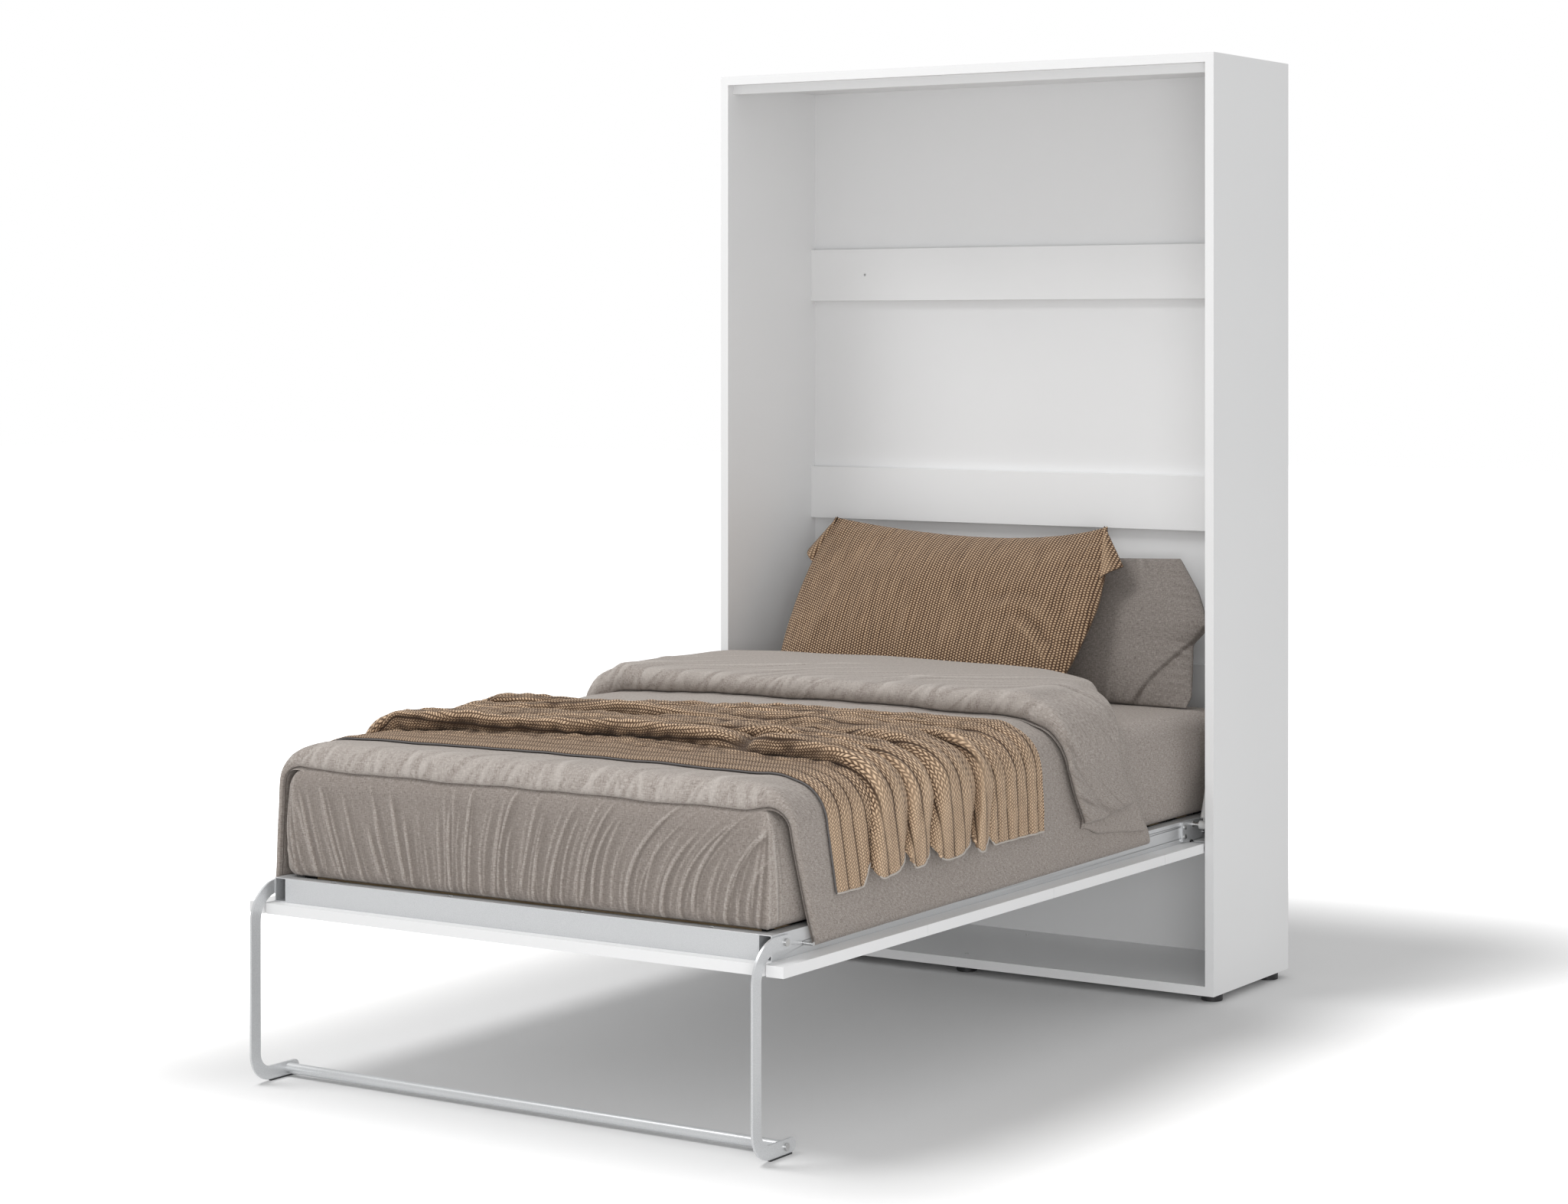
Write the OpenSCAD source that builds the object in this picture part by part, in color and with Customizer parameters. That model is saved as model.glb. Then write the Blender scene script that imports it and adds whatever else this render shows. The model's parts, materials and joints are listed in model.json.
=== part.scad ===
/* [Mattress] */
// Width of the mattress
mattress_w = 1200; // [900:10:1400]
// Length of the mattress
mattress_l = 2000; // [1900:10:2100]
// Thickness of the mattress at the crown
mattress_t = 250; // [200:5:280]
// Height of the crown above the mattress edge
mattress_crown = 16; // [5:1:30]
// Radius between the top and the sides of the mattress
mattress_edge_r = 42; // [20:1:60]
// Corner radius of the mattress seen from above
mattress_corner_r = 60; // [30:1:120]

/* [Cabinet] */
// Thickness of the cabinet boards
board_t = 22; // [16:1:25]
// Thickness of the back panel
back_t = 3; // [3:0.5:8]
// Thickness of the boards across the back
back_rail_t = 19; // [12:1:22]
// Height of the boards across the back
back_rail_h = 134; // [80:1:180]
// Height of the lowest board across the back, above the cabinet bottom
back_rail_low = 590; // [500:5:700]
// Height of the middle board across the back, above the cabinet bottom
back_rail_mid = 1051; // [950:5:1200]
// Height of the highest board across the back, above the cabinet bottom
back_rail_high = 1620; // [1400:5:1800]
// Room behind the closed mattress for the bedding
bedding_room = 70; // [40:1:120]
// Gap between the closed front and the top panel
front_gap_top = 14; // [6:1:20]
// Gap between the closed front and the bottom panel
front_gap_bottom = 12; // [6:1:20]
// Height of the stop strip under the top panel
stop_strip_h = 22; // [16:1:40]
// Depth of the stop strip under the top panel
stop_strip_d = 22; // [16:1:40]

/* [Feet] */
// Diameter of the cabinet feet
foot_d = 50; // [30:1:60]
// Height of the cabinet feet
foot_h = 18; // [10:1:40]
// Distance of the outer feet from the cabinet side
foot_inset_x = 30; // [26:1:60]
// Distance of the feet from the cabinet front and back
foot_inset_y = 54; // [32:1:80]

/* [Deck] */
// Thickness of the deck panels
deck_t = 22; // [18:1:25]
// Seam between two deck panels
deck_seam = 1; // [0.5:0.5:3]
// Gap between the deck and each side panel
deck_side_gap = 3.2; // [3:0.1:5]
// Length of deck in front of the frame
deck_front_over = 28; // [10:1:60]
// Length of deck behind the frame
deck_rear_over = 47; // [20:1:60]
// Depth of the mattress head end behind the cabinet front
head_set_back = 262; // [230:1:270]

/* [Frame] */
// Width of the steel tube
tube_w = 30; // [20:1:40]
// Height of the steel tube
tube_h = 50; // [40:1:60]
// Wall of the steel tube
tube_wall = 2; // [1.5:0.5:3]
// How far the side rails stand out past the mattress
rail_out = 17.5; // [5:0.5:25]
// Gap between a side rail and the cabinet side
rail_side_gap = 48; // [46:0.5:60]
// Length of the frame beyond the mattress at each end
frame_margin = 20; // [10:1:40]
// Width of the middle rails
middle_rail_w = 50; // [40:1:60]
// Height of the middle rails
middle_rail_h = 30; // [20:1:36]

/* [Slats] */
// Number of slats
slat_count = 14; // [10:1:18]
// Width of a slat
slat_w = 53; // [38:1:70]
// Thickness of a slat
slat_t = 8; // [6:1:10]
// Length of a slat holder along the slat
holder_l = 32; // [20:1:45]
// Wall of a slat holder
holder_wall = 3; // [2:0.5:4]

/* [Hinge] */
// Distance of the pivot from the closed front face and from the deck underside
pivot_inset = 16; // [14:0.5:18]
// Diameter of the pivot stud
pivot_d = 12; // [10:0.5:14]
// Radial clearance of a turning fit
fit_gap = 0.05; // [0.03:0.01:0.08]
// Thickness of the hinge arm
arm_t = 5; // [4:0.5:6]
// Thickness of the fixed hinge plate
hinge_plate_t = 2.2; // [1.5:0.1:2.4]
// Wall of the pivot bush
bush_wall = 2; // [1:0.5:2.5]
// Thickness of the bush collar
bush_collar = 1.5; // [1:0.5:3]

/* [Gas spring] */
// Distance of the lower spring pin behind the pivot
spring_pin_back = 10; // [0:1:24]
// Height of the lower spring pin above the pivot
spring_pin_up = 45; // [40:1:46]
// Distance of the upper spring stud behind the pivot
spring_stud_back = 118; // [100:1:140]
// Height of the upper spring stud above the pivot
spring_stud_up = 325; // [300:1:360]
// Diameter of the spring cylinder
spring_d = 22; // [18:1:24]
// Length of the spring cylinder
spring_l = 200; // [180:1:210]
// Wall of the spring cylinder
spring_wall = 2; // [1.5:0.5:3]
// Diameter of the spring rod
spring_rod_d = 10; // [8:0.5:12]
// Diameter of the spring eyes
spring_eye_d = 20; // [18:1:24]
// Thickness of the spring eyes
spring_eye_t = 20; // [12:1:22]
// Diameter of the spring pins
spring_pin_d = 9; // [8:0.5:10]

/* [Leg] */
// Width of the flat leg bar
leg_bar_w = 28; // [20:1:32]
// Thickness of the flat leg bar
leg_bar_t = 5; // [4:0.5:6]
// Distance of the leg pivot behind the deck front
leg_pivot_set = 70; // [60:1:90]
// Height of the leg pivot above the deck underside
leg_pivot_up = 54; // [48:1:58]
// Distance of the upright part of the leg in front of the leg pivot
leg_reach = 99; // [96:1:120]
// Straight length in front of the leg pivot
leg_shoulder = 31; // [10:1:40]
// Length of the leg foot behind the leg pivot
leg_toe = 34; // [20:1:50]
// Bend radius at the bottom of the leg, to the middle of the bar
leg_foot_r = 45; // [30:1:60]
// Length of bar behind the leg pivot, before the round end
leg_tail = 6; // [0:1:20]
// Diameter of the leg pivot bolt
leg_bolt_d = 8; // [6:0.5:10]
// Diameter of the domed bolt heads
leg_bolt_head_d = 15; // [12:1:18]
// Diameter of the crossbar tube
crossbar_d = 22; // [18:1:26]
// Thickness of the foot pads
pad_t = 3; // [2:0.5:5]
// Clearance of the slots that the leg passes through
slot_gap = 1; // [0.8:0.1:2]
// Distance of the stop pins behind the leg pivot
stop_pin_back = 68; // [40:1:90]
// Drop of the stop pins below the leg pivot
stop_pin_drop = 12; // [0:1:14]
// Diameter of the stop pins
stop_pin_d = 8; // [6:0.5:10]
// Length of the stop pins
stop_pin_l = 24; // [15:1:30]

/* [Bedding] */
// Thickness of the fitted sheet
sheet_t = 1.5; // [1:0.5:3]
// Thickness of the duvet
duvet_t = 38; // [20:1:50]
// Thickness of the duvet where it is folded back
duvet_fold_t = 108; // [70:1:120]
// Thickness of the duvet where it hangs
duvet_side_t = 14; // [8:1:20]
// Distance of the duvet foot edge from the mattress foot end
duvet_set = 10; // [5:1:60]
// Distance of the duvet head edge from the mattress head end
duvet_head_set = 350; // [340:10:450]
// How far its head edge comes forward at the right edge of the bed
duvet_pull_right = 330; // [280:10:360]
// How far its head edge comes forward at the left edge of the bed
duvet_pull_left = 230; // [220:10:300]
// Width of the fold
duvet_fold_w = 610; // [560:10:640]
// Height of the duvet hem above the deck underside
duvet_hem_up = 36; // [30:1:60]
// Thickness of the knitted throw
throw_t = 9; // [5:1:15]
// Depth of the folds in the throw
throw_wave = 16; // [5:1:25]
// Distance of the throw from the duvet foot edge
throw_set = 105; // [60:5:300]
// Distance of the throw from the fold in the duvet at its right end
throw_back_right = 95; // [80:5:200]
// Distance of the throw from the fold in the duvet at its left end
throw_back_left = 365; // [100:5:450]
// Width of a pillow
pillow_w = 780; // [600:10:900]
// Height of the front pillow
pillow_h = 515; // [400:5:530]
// Height of the rear pillow
rear_h = 400; // [360:10:420]
// Thickness of the front pillow
pillow_t = 130; // [110:5:135]
// Distance of the middle of the front pillow from the middle of the bed, to the left
front_left = 110; // [0:5:160]
// Distance of the middle of the front pillow from the mattress head end
front_set = 174; // [170:1:180]
// Distance of the middle of the rear pillow from the middle of the bed, to the right
rear_right = 190; // [100:5:200]
// Distance of the middle of the rear pillow from the mattress head end
rear_set = 10; // [8.5:0.5:10.5]

/* [Hidden] */
$fn = 48;

white = "whitesmoke";
silver = "silver";
dark = "dimgray";
black = [0.12, 0.12, 0.13];
linen = [0.66, 0.62, 0.58];
caramel = [0.62, 0.49, 0.36];
birch = "burlywood";

// Small amount that a cut runs past the face it opens
cut = 1;
// Gap between parts that touch on the real object but move or are soft
touch = 0.3;

// Gap between the closed deck and the stop strip
strip_gap = 1;
back_rail_zs = [back_rail_low, back_rail_mid, back_rail_high];

// The cabinet and the deck follow the mattress
rail_half = mattress_w / 2 + rail_out;
inner_half = rail_half + rail_side_gap;
half_w = inner_half + board_t;
deck_half = inner_half - deck_side_gap;
mattress_foot_u = mattress_l - head_set_back;
frame_front_u = mattress_foot_u + frame_margin;
frame_rear_u = -head_set_back - frame_margin;
deck_front_u = frame_front_u + deck_front_over;
deck_rear_u = frame_rear_u - deck_rear_over;
deck_up = board_t + front_gap_bottom - deck_rear_u - 2 * pivot_inset;
cabinet_h = deck_up + 2 * pivot_inset + deck_front_u + front_gap_top + board_t;
bed_top_h = deck_t + tube_h;
cabinet_d = bed_top_h + mattress_t + bedding_room + back_rail_t + back_t;
top_z = foot_h + cabinet_h;

// The leg stands at the foot end
leg_pivot_u = deck_front_u - leg_pivot_set;
leg_front_u = leg_pivot_u + leg_reach + leg_bar_w / 2;
deck_z = foot_h + deck_up;
leg_pivot_z = deck_z + leg_pivot_up;
leg_foot_z = pad_t + leg_bar_w / 2;
leg_h = leg_pivot_z - leg_foot_z;
leg_top_r = leg_reach - leg_shoulder;

// The middle of the whole bed, front to back, is Y = 0
front_y = (leg_front_u - cabinet_d) / 2;
back_y = front_y + cabinet_d;
back_face_y = back_y - back_t;
rail_face_y = back_face_y - back_rail_t;
strip_y = front_y + deck_t + strip_gap;
pivot_y = front_y + pivot_inset;
pivot_z = deck_z + pivot_inset;
rail_z = deck_z + deck_t;

// Y of a point that lies a distance u in front of the cabinet
function at(u) = front_y - u;

// Deck panels, and the seams over the middle rails
deck_panels = 4;
panel_l = (deck_front_u - deck_rear_u - (deck_panels - 1) * deck_seam) / deck_panels;
panel_pitch = panel_l + deck_seam;
seam_us = [for (i = [1 : deck_panels - 1]) deck_front_u - i * panel_pitch + deck_seam / 2];

// Hinge and gas spring
arm_x = rail_half + arm_t;
plate_x = inner_half - hinge_plate_t;
stud_end_x = rail_half + touch;
arm_round_r = 12;
pocket_gap = 2;
pocket_skin = 3;
bush_hole_d = pivot_d + 2 * fit_gap + 2 * bush_wall;
bush_collar_w = 2.5;
bush_collar_d = bush_hole_d + 2 * bush_collar_w;
plate_set = 12;
plate_low = 30;
plate_end = 25;
arm_front = 45;
arm_back = 75;
arm_low = deck_t - pivot_inset + 4;
arm_high = bed_top_h - pivot_inset - 2;
arm_bolt_d = 6;
bolt_in = 8;
bolt_end_x = rail_half - bolt_in;
arm_bolt_head_d = 11;
arm_bolt_head_t = 3;
arm_bolt_edge = 11;
spring_x = plate_x - spring_d / 2 - 2;
spring_dy = spring_stud_back - spring_pin_back;
spring_dz = spring_stud_up - spring_pin_up;
spring_open_l = norm([spring_dy, spring_dz]);
spring_closed_l = norm([spring_stud_back - spring_pin_up, spring_stud_up + spring_pin_back]);
spring_stroke = spring_closed_l - spring_open_l;
spring_lean = atan2(spring_dy, spring_dz);
spring_foot = 15;
spring_neck_d = 8;
rod_guide_l = 8;
piston_l = 8;
rod_l = spring_open_l - spring_foot - spring_l + spring_stroke + rod_guide_l + 2 * piston_l;
stud_head = 2;
spring_clip_w = 2.5;
spring_clip_d = spring_pin_d + 2 * spring_clip_w;
spring_washer_d = 14;
spring_washer_t = 2;

// Screws and dowels
dowel_d = 8;
dowel_l = 32;
dowel_blind = 12;
dowel_gap = 0.1;
dowel_ys = [0.14, 0.5, 0.86];
dowel_rail_zs = [0.22, 0.78];
strip_dowel_xs = [-0.8, 0, 0.8];
strip_dowel_in = stop_strip_h - 4;
screw_d = 5;
screw_head_d = 10;
screw_head_t = 3;
cabinet_screw_l = 52;
cabinet_screw_ys = [0.28, 0.72];
foot_step = 2;
foot_screw_l = 34;
foot_screw_head_d = 9;
foot_screw_head_t = 1.6;
back_screw_d = 3;
back_screw_head_d = 7;
back_screw_head_t = 1.5;
back_screw_l = 15;
back_screw_zs = [0.06, 0.28, 0.5, 0.72, 0.94];
back_screw_xs = [-0.45, 0, 0.45];
hinge_screw_d = 4;
hinge_screw_head_d = 8;
hinge_screw_l = 16;
hinge_screw_at = [[26, -18], [50, 14], [2, 46], [60, 150], [88, 250]];
deck_screw_d = 4;
deck_screw_head_d = 9;
deck_screw_head_t = 3;
deck_screw_in = 16;
deck_screw_x = [0.1, 0.36, 0.64, 0.9];
deck_screw_seam = 12;
access_hole_d = 12;
wall_hole_d = 7;
wall_hole_set = 165;

// Leg details
leg_bolt_head_t = 4;
crossbar_wall = 2;
crossbar_screw_d = 8;
crossbar_screw_l = 14;
slot_relief = 8;

// Feet: three along the width, two along the depth
foot_xs = [-half_w + foot_inset_x, 0, half_w - foot_inset_x];
foot_ys = [front_y + foot_inset_y, back_y - foot_inset_y];

// Slats lie level with the top of the rails, at equal steps
rail_inner = rail_half - tube_w;
slat_z = rail_z + tube_h - slat_t;
slat_margin = 60;
slat_first_u = frame_rear_u + tube_w + slat_margin;
slat_last_u = frame_front_u - tube_w - slat_margin;
slat_step = (slat_last_u - slat_first_u) / (slat_count - 1);
slat_us = [for (i = [0 : slat_count - 1]) slat_first_u + i * slat_step];

// Bedding
bed_z = rail_z + tube_h + touch;
bed_half = mattress_w / 2;
bed_mid_y = at(mattress_foot_u - mattress_l / 2);
mattress_top = bed_z + mattress_t;
mattress_edge_top = mattress_top - mattress_crown;
ring_corner = 5;
ring_n = 4 * (ring_corner + 1);

// Straight steps along a line, as fractions
function steps(n) = [for (i = [0 : n]) i / n];
function mix(a, b, f) = a + (b - a) * f;

// Triangles of a tube of rings, n points to a ring
function ring_faces(rings, n) = [for (i = [0 : rings - 2]) for (j = [0 : n - 1])
    each [[i * n + j, i * n + (j + 1) % n, (i + 1) * n + (j + 1) % n],
          [i * n + j, (i + 1) * n + (j + 1) % n, (i + 1) * n + j]]];
function fan_faces(start, n, tip, up) = [for (j = [0 : n - 1])
    up ? [start + j, start + (j + 1) % n, tip] : [start + (j + 1) % n, start + j, tip]];

// One block between two corners
module block(a, b) {
    translate([min(a[0], b[0]), min(a[1], b[1]), min(a[2], b[2])])
        cube([abs(b[0] - a[0]), abs(b[1] - a[1]), abs(b[2] - a[2])]);
}

// A round bar along X
module bar_x(x0, x1, y, z, d) {
    translate([min(x0, x1), y, z]) rotate([0, 90, 0]) cylinder(h = abs(x1 - x0), d = d);
}

// A round bar along Y
module bar_y(y0, y1, x, z, d) {
    translate([x, max(y0, y1), z]) rotate([90, 0, 0]) cylinder(h = abs(y1 - y0), d = d);
}

// A round bar along Z
module bar_z(z0, z1, x, y, d) {
    translate([x, y, min(z0, z1)]) cylinder(h = abs(z1 - z0), d = d);
}

// A plate that stands across X, from an outline drawn in Y and Z
module side_plate(x, t) {
    translate([x, 0, 0]) rotate([90, 0, 90]) linear_extrude(t) children();
}

// The same part on the right, or mirrored to the left
module on_side(right) {
    if (right) children();
    else mirror([1, 0, 0]) children();
}

// Tube along X or Y with open ends
module tube_x(x0, x1, y, z, w, h) {
    difference() {
        block([x0, y - w / 2, z], [x1, y + w / 2, z + h]);
        block([x0 - cut, y - w / 2 + tube_wall, z + tube_wall],
              [x1 + cut, y + w / 2 - tube_wall, z + h - tube_wall]);
    }
}

// Dowels of the cabinet, with a clearance for their holes
module dowels(gap) {
    d = dowel_d + 2 * gap;
    up = dowel_blind + gap;
    down = dowel_l - dowel_blind + gap;
    for (sx = [-1, 1], f = dowel_ys) {
        x = sx * (half_w - board_t / 2);
        y = front_y + f * cabinet_d;
        bar_z(top_z - board_t + up, top_z - board_t - down, x, y, d);
        bar_z(foot_h + board_t - up, foot_h + board_t + down, x, y, d);
    }
    for (sx = [-1, 1], z = back_rail_zs, f = dowel_rail_zs) {
        bar_x(sx * (inner_half + up), sx * (inner_half - down), rail_face_y + back_rail_t / 2,
              foot_h + z + f * back_rail_h, d);
    }
    for (f = strip_dowel_xs)
        bar_z(top_z - board_t + up, top_z - board_t - strip_dowel_in - gap, f * inner_half,
              strip_y + stop_strip_d / 2, d);
}

// Screws through the top and bottom panels into the sides
module cabinet_screw_set(gap) {
    for (sx = [-1, 1], f = cabinet_screw_ys, up = [0, 1]) {
        x = sx * (half_w - board_t / 2);
        y = front_y + f * cabinet_d;
        z = up == 1 ? top_z : foot_h;
        dir = up == 1 ? -1 : 1;
        bar_z(z - dir * gap, z + dir * screw_head_t, x, y, screw_head_d + 2 * gap);
        bar_z(z + dir * screw_head_t / 2, z + dir * (cabinet_screw_l + gap), x, y,
              screw_d + 2 * gap);
    }
}

// Screws that hold the feet under the bottom panel
module foot_screw_holes(gap) {
    for (x = foot_xs, y = foot_ys)
        bar_z(foot_h + board_t + cut, foot_h + board_t - foot_screw_l - cut, x, y,
              screw_d + 2 * gap);
}

// Places of the screws around the back panel, as [x, z]
back_screw_at = [
    for (sx = [-1, 1], f = back_screw_zs) [sx * (half_w - board_t / 2), foot_h + f * cabinet_h],
    for (f = back_screw_xs, z = [foot_h + board_t / 2, top_z - board_t / 2]) [f * half_w, z]];
module back_screw_set(gap) {
    for (p = back_screw_at) {
        bar_y(back_y + gap, back_y - back_screw_head_t, p[0], p[1], back_screw_head_d + 2 * gap);
        bar_y(back_y - back_screw_head_t / 2, back_y - back_screw_l - gap, p[0], p[1],
              back_screw_d + 2 * gap);
    }
}

// Places of the hinge screws, as [y, z]
function hinge_screw_yz(p) = [pivot_y + p[0], pivot_z + p[1]];
module hinge_screw_set(gap) {
    for (p = hinge_screw_at) {
        q = hinge_screw_yz(p);
        bar_x(plate_x - gap, inner_half, q[0], q[1], hinge_screw_head_d + 2 * gap);
        bar_x(plate_x + hinge_plate_t / 2, plate_x + hinge_screw_l + gap, q[0], q[1],
              hinge_screw_d + 2 * gap);
    }
}

module side_panel(right) {
    color(white) difference() {
        on_side(right) difference() {
            block([inner_half, front_y, foot_h + board_t], [half_w, back_face_y, top_z - board_t]);
            hinge_screw_set(dowel_gap);
        }
        dowels(dowel_gap);
        cabinet_screw_set(dowel_gap);
        back_screw_set(dowel_gap);
    }
}
module side_panel_left() { side_panel(false); }
module side_panel_right() { side_panel(true); }

module top_panel() {
    color(white) difference() {
        block([-half_w, front_y, top_z - board_t], [half_w, back_face_y, top_z]);
        dowels(dowel_gap);
        cabinet_screw_set(dowel_gap);
        back_screw_set(dowel_gap);
    }
}

module bottom_panel() {
    color(white) difference() {
        block([-half_w, front_y, foot_h], [half_w, back_face_y, foot_h + board_t]);
        dowels(dowel_gap);
        cabinet_screw_set(dowel_gap);
        back_screw_set(dowel_gap);
        foot_screw_holes(dowel_gap);
    }
}

module wall_holes() {
    for (sx = [-1, 1])
        bar_y(rail_face_y - cut, back_y + cut, sx * (inner_half - wall_hole_set),
              foot_h + back_rail_zs[2] + back_rail_h / 2, wall_hole_d);
}

module back_panel() {
    color(white) difference() {
        block([-half_w, back_face_y, foot_h], [half_w, back_y, top_z]);
        back_screw_set(dowel_gap);
        wall_holes();
    }
}

module stop_strip() {
    color(white) difference() {
        block([-inner_half, strip_y, top_z - board_t - stop_strip_h],
              [inner_half, strip_y + stop_strip_d, top_z - board_t]);
        dowels(dowel_gap);
    }
}

module back_rail(z) {
    color(white) difference() {
        block([-inner_half, rail_face_y, foot_h + z],
              [inner_half, back_face_y, foot_h + z + back_rail_h]);
        dowels(dowel_gap);
        wall_holes();
    }
}
module back_rail_lower() { back_rail(back_rail_zs[0]); }
module back_rail_middle() { back_rail(back_rail_zs[1]); }
module back_rail_upper() { back_rail(back_rail_zs[2]); }

module cabinet_dowels() { color(birch) dowels(0); }
module cabinet_screws() { color(dark) cabinet_screw_set(0); }
module back_screws() { color(dark) back_screw_set(0); }

module cabinet_feet() {
    color(black) for (x = foot_xs, y = foot_ys) difference() {
        union() {
            bar_z(0, foot_h, x, y, foot_d - foot_step);
            bar_z(foot_step, foot_h, x, y, foot_d);
        }
        foot_screw_holes(dowel_gap);
    }
}

module foot_screws() {
    color(dark) for (x = foot_xs, y = foot_ys) {
        bar_z(foot_h + board_t, foot_h + board_t + foot_screw_head_t, x, y, foot_screw_head_d);
        bar_z(foot_h + board_t + foot_screw_head_t / 2, foot_h + board_t - foot_screw_l, x, y,
              screw_d);
    }
}

// Fixed plate with the pivot stud and the upper spring stud
module hinge_plate(right) {
    edge = spring_stud_back + plate_end;
    color(silver) on_side(right) {
        difference() {
            side_plate(plate_x, hinge_plate_t) translate([pivot_y, pivot_z]) polygon([
                [-plate_set, -plate_low], [2 * plate_low, -plate_low],
                [edge, spring_stud_up - plate_end],
                [edge, spring_stud_up + plate_end],
                [spring_stud_back - plate_end, spring_stud_up + plate_end],
                [-plate_set, 2 * plate_low]]);
            hinge_screw_set(0);
        }
        bar_x(stud_end_x, plate_x + hinge_plate_t / 2, pivot_y, pivot_z, pivot_d);
        bar_x(spring_x - spring_eye_t / 2 - stud_head, plate_x + hinge_plate_t / 2,
              pivot_y + spring_stud_back, pivot_z + spring_stud_up, spring_pin_d);
    }
}
module hinge_plate_left() { hinge_plate(false); }
module hinge_plate_right() { hinge_plate(true); }

module hinge_screws() {
    color(dark) for (right = [false, true]) on_side(right) hinge_screw_set(0);
}

// Rings that hold the rod eyes on the upper studs
module spring_clips() {
    color(dark) for (right = [false, true]) on_side(right) difference() {
        bar_x(spring_x - spring_eye_t / 2 - touch, spring_x - spring_eye_t / 2 - stud_head + touch,
              pivot_y + spring_stud_back, pivot_z + spring_stud_up, spring_clip_d);
        bar_x(spring_x - spring_eye_t, spring_x, pivot_y + spring_stud_back, pivot_z + spring_stud_up,
              spring_pin_d);
    }
}

// Every deck screw, as [x, u]: along the seams and at both ends
deck_screw_us = concat([for (u = seam_us, s = [-1, 1]) u + s * deck_screw_seam],
    [frame_front_u - tube_w / 2, frame_rear_u + tube_w / 2]);
deck_screw_at = [for (f = deck_screw_x, u = deck_screw_us) [mix(-rail_inner, rail_inner, f), u]];
module deck_screw_set(gap) {
    for (p = deck_screw_at) {
        bar_z(rail_z + tube_wall + deck_screw_head_t / 2, rail_z - deck_screw_in - gap, p[0], at(p[1]),
              deck_screw_d + 2 * gap);
    }
}

// Pocket for the hinge arm, open to the edge of the deck and to its top face
module arm_pocket() {
    r = arm_round_r + pocket_gap;
    block([rail_half - pocket_gap, pivot_y - r, deck_z + pocket_skin],
          [deck_half + cut, pivot_y + r, rail_z + cut]);
}

// Slot that the leg bar passes through when the leg folds
module leg_slot() {
    block([rail_half + touch - slot_gap, at(deck_front_u) - cut, deck_z - cut],
          [rail_half + touch + leg_bar_t + slot_gap, at(leg_pivot_u - slot_relief), rail_z + cut]);
}

// One panel of the deck, counted from the foot end
module deck_panel(i) {
    u = deck_front_u - (i - 1) * panel_pitch;
    color(white) difference() {
        block([-deck_half, at(u), deck_z], [deck_half, at(u - panel_l), rail_z]);
        deck_screw_set(dowel_gap);
        for (right = [false, true]) on_side(right) {
            if (i == 1) leg_slot();
            if (i == deck_panels) arm_pocket();
        }
    }
}
module deck_panel_1() { deck_panel(1); }
module deck_panel_2() { deck_panel(2); }
module deck_panel_3() { deck_panel(3); }
module deck_panel_4() { deck_panel(4); }

module deck_screws() {
    color(dark) {
        deck_screw_set(0);
        for (p = deck_screw_at)
            bar_z(rail_z + tube_wall, rail_z + tube_wall + deck_screw_head_t, p[0], at(p[1]),
                  deck_screw_head_d);
    }
}

// Holes for the bolts through the outer wall of a side rail
arm_bolt_at = [for (y = [-arm_front + arm_bolt_edge, arm_back - arm_bolt_edge],
    z = [arm_low + arm_bolt_edge, arm_high - arm_bolt_edge]) [pivot_y + y, pivot_z + z]];
module side_rail_cuts() {
    wall = rail_half - tube_wall - cut;
    for (p = arm_bolt_at) bar_x(wall, rail_half + cut, p[0], p[1], arm_bolt_d);
    bar_x(wall, rail_half + cut, at(leg_pivot_u), leg_pivot_z, leg_bolt_d);
    bar_x(wall, rail_half + cut, at(leg_pivot_u - stop_pin_back), leg_pivot_z - stop_pin_drop,
          stop_pin_d);
}

module side_rail(right) {
    color(silver) on_side(right) difference() {
        block([rail_inner, at(frame_front_u), rail_z], [rail_half, at(frame_rear_u), rail_z + tube_h]);
        block([rail_inner + tube_wall, at(frame_front_u) - cut, rail_z + tube_wall],
              [rail_half - tube_wall, at(frame_rear_u) + cut, rail_z + tube_h - tube_wall]);
        side_rail_cuts();
    }
}
module side_rail_left() { side_rail(false); }
module side_rail_right() { side_rail(true); }

// A rail across the bed, with holes for the deck screws and for the driver
module cross_rail(u, w, h) {
    difference() {
        tube_x(-rail_inner, rail_inner, at(u), rail_z, w, h);
        deck_screw_set(dowel_gap);
        for (p = deck_screw_at)
            if (abs(p[1] - u) < w / 2)
                bar_z(rail_z + h - tube_wall - cut, rail_z + h + cut, p[0], at(p[1]), access_hole_d);
    }
}
module foot_rail() { color(silver) cross_rail(frame_front_u - tube_w / 2, tube_w, tube_h); }
module head_rail() { color(silver) cross_rail(frame_rear_u + tube_w / 2, tube_w, tube_h); }
module middle_rails() { color(silver) for (u = seam_us) cross_rail(u, middle_rail_w, middle_rail_h); }

module slats() {
    end = rail_inner - holder_wall - touch;
    color(birch) for (u = slat_us)
        block([-end, at(u) - slat_w / 2, slat_z], [end, at(u) + slat_w / 2, slat_z + slat_t]);
}

// Holders on the inner faces of the side rails, one for each end of a slat
module slat_holders() {
    w = slat_w / 2 + touch;
    color(black) for (right = [false, true], u = slat_us) on_side(right) difference() {
        block([rail_inner - holder_l, at(u) - w - holder_wall, slat_z - touch - holder_wall],
              [rail_inner, at(u) + w + holder_wall, slat_z + slat_t]);
        block([rail_inner - holder_l - cut, at(u) - w, slat_z - touch],
              [rail_inner - holder_wall, at(u) + w, slat_z + slat_t + cut]);
    }
}

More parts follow.
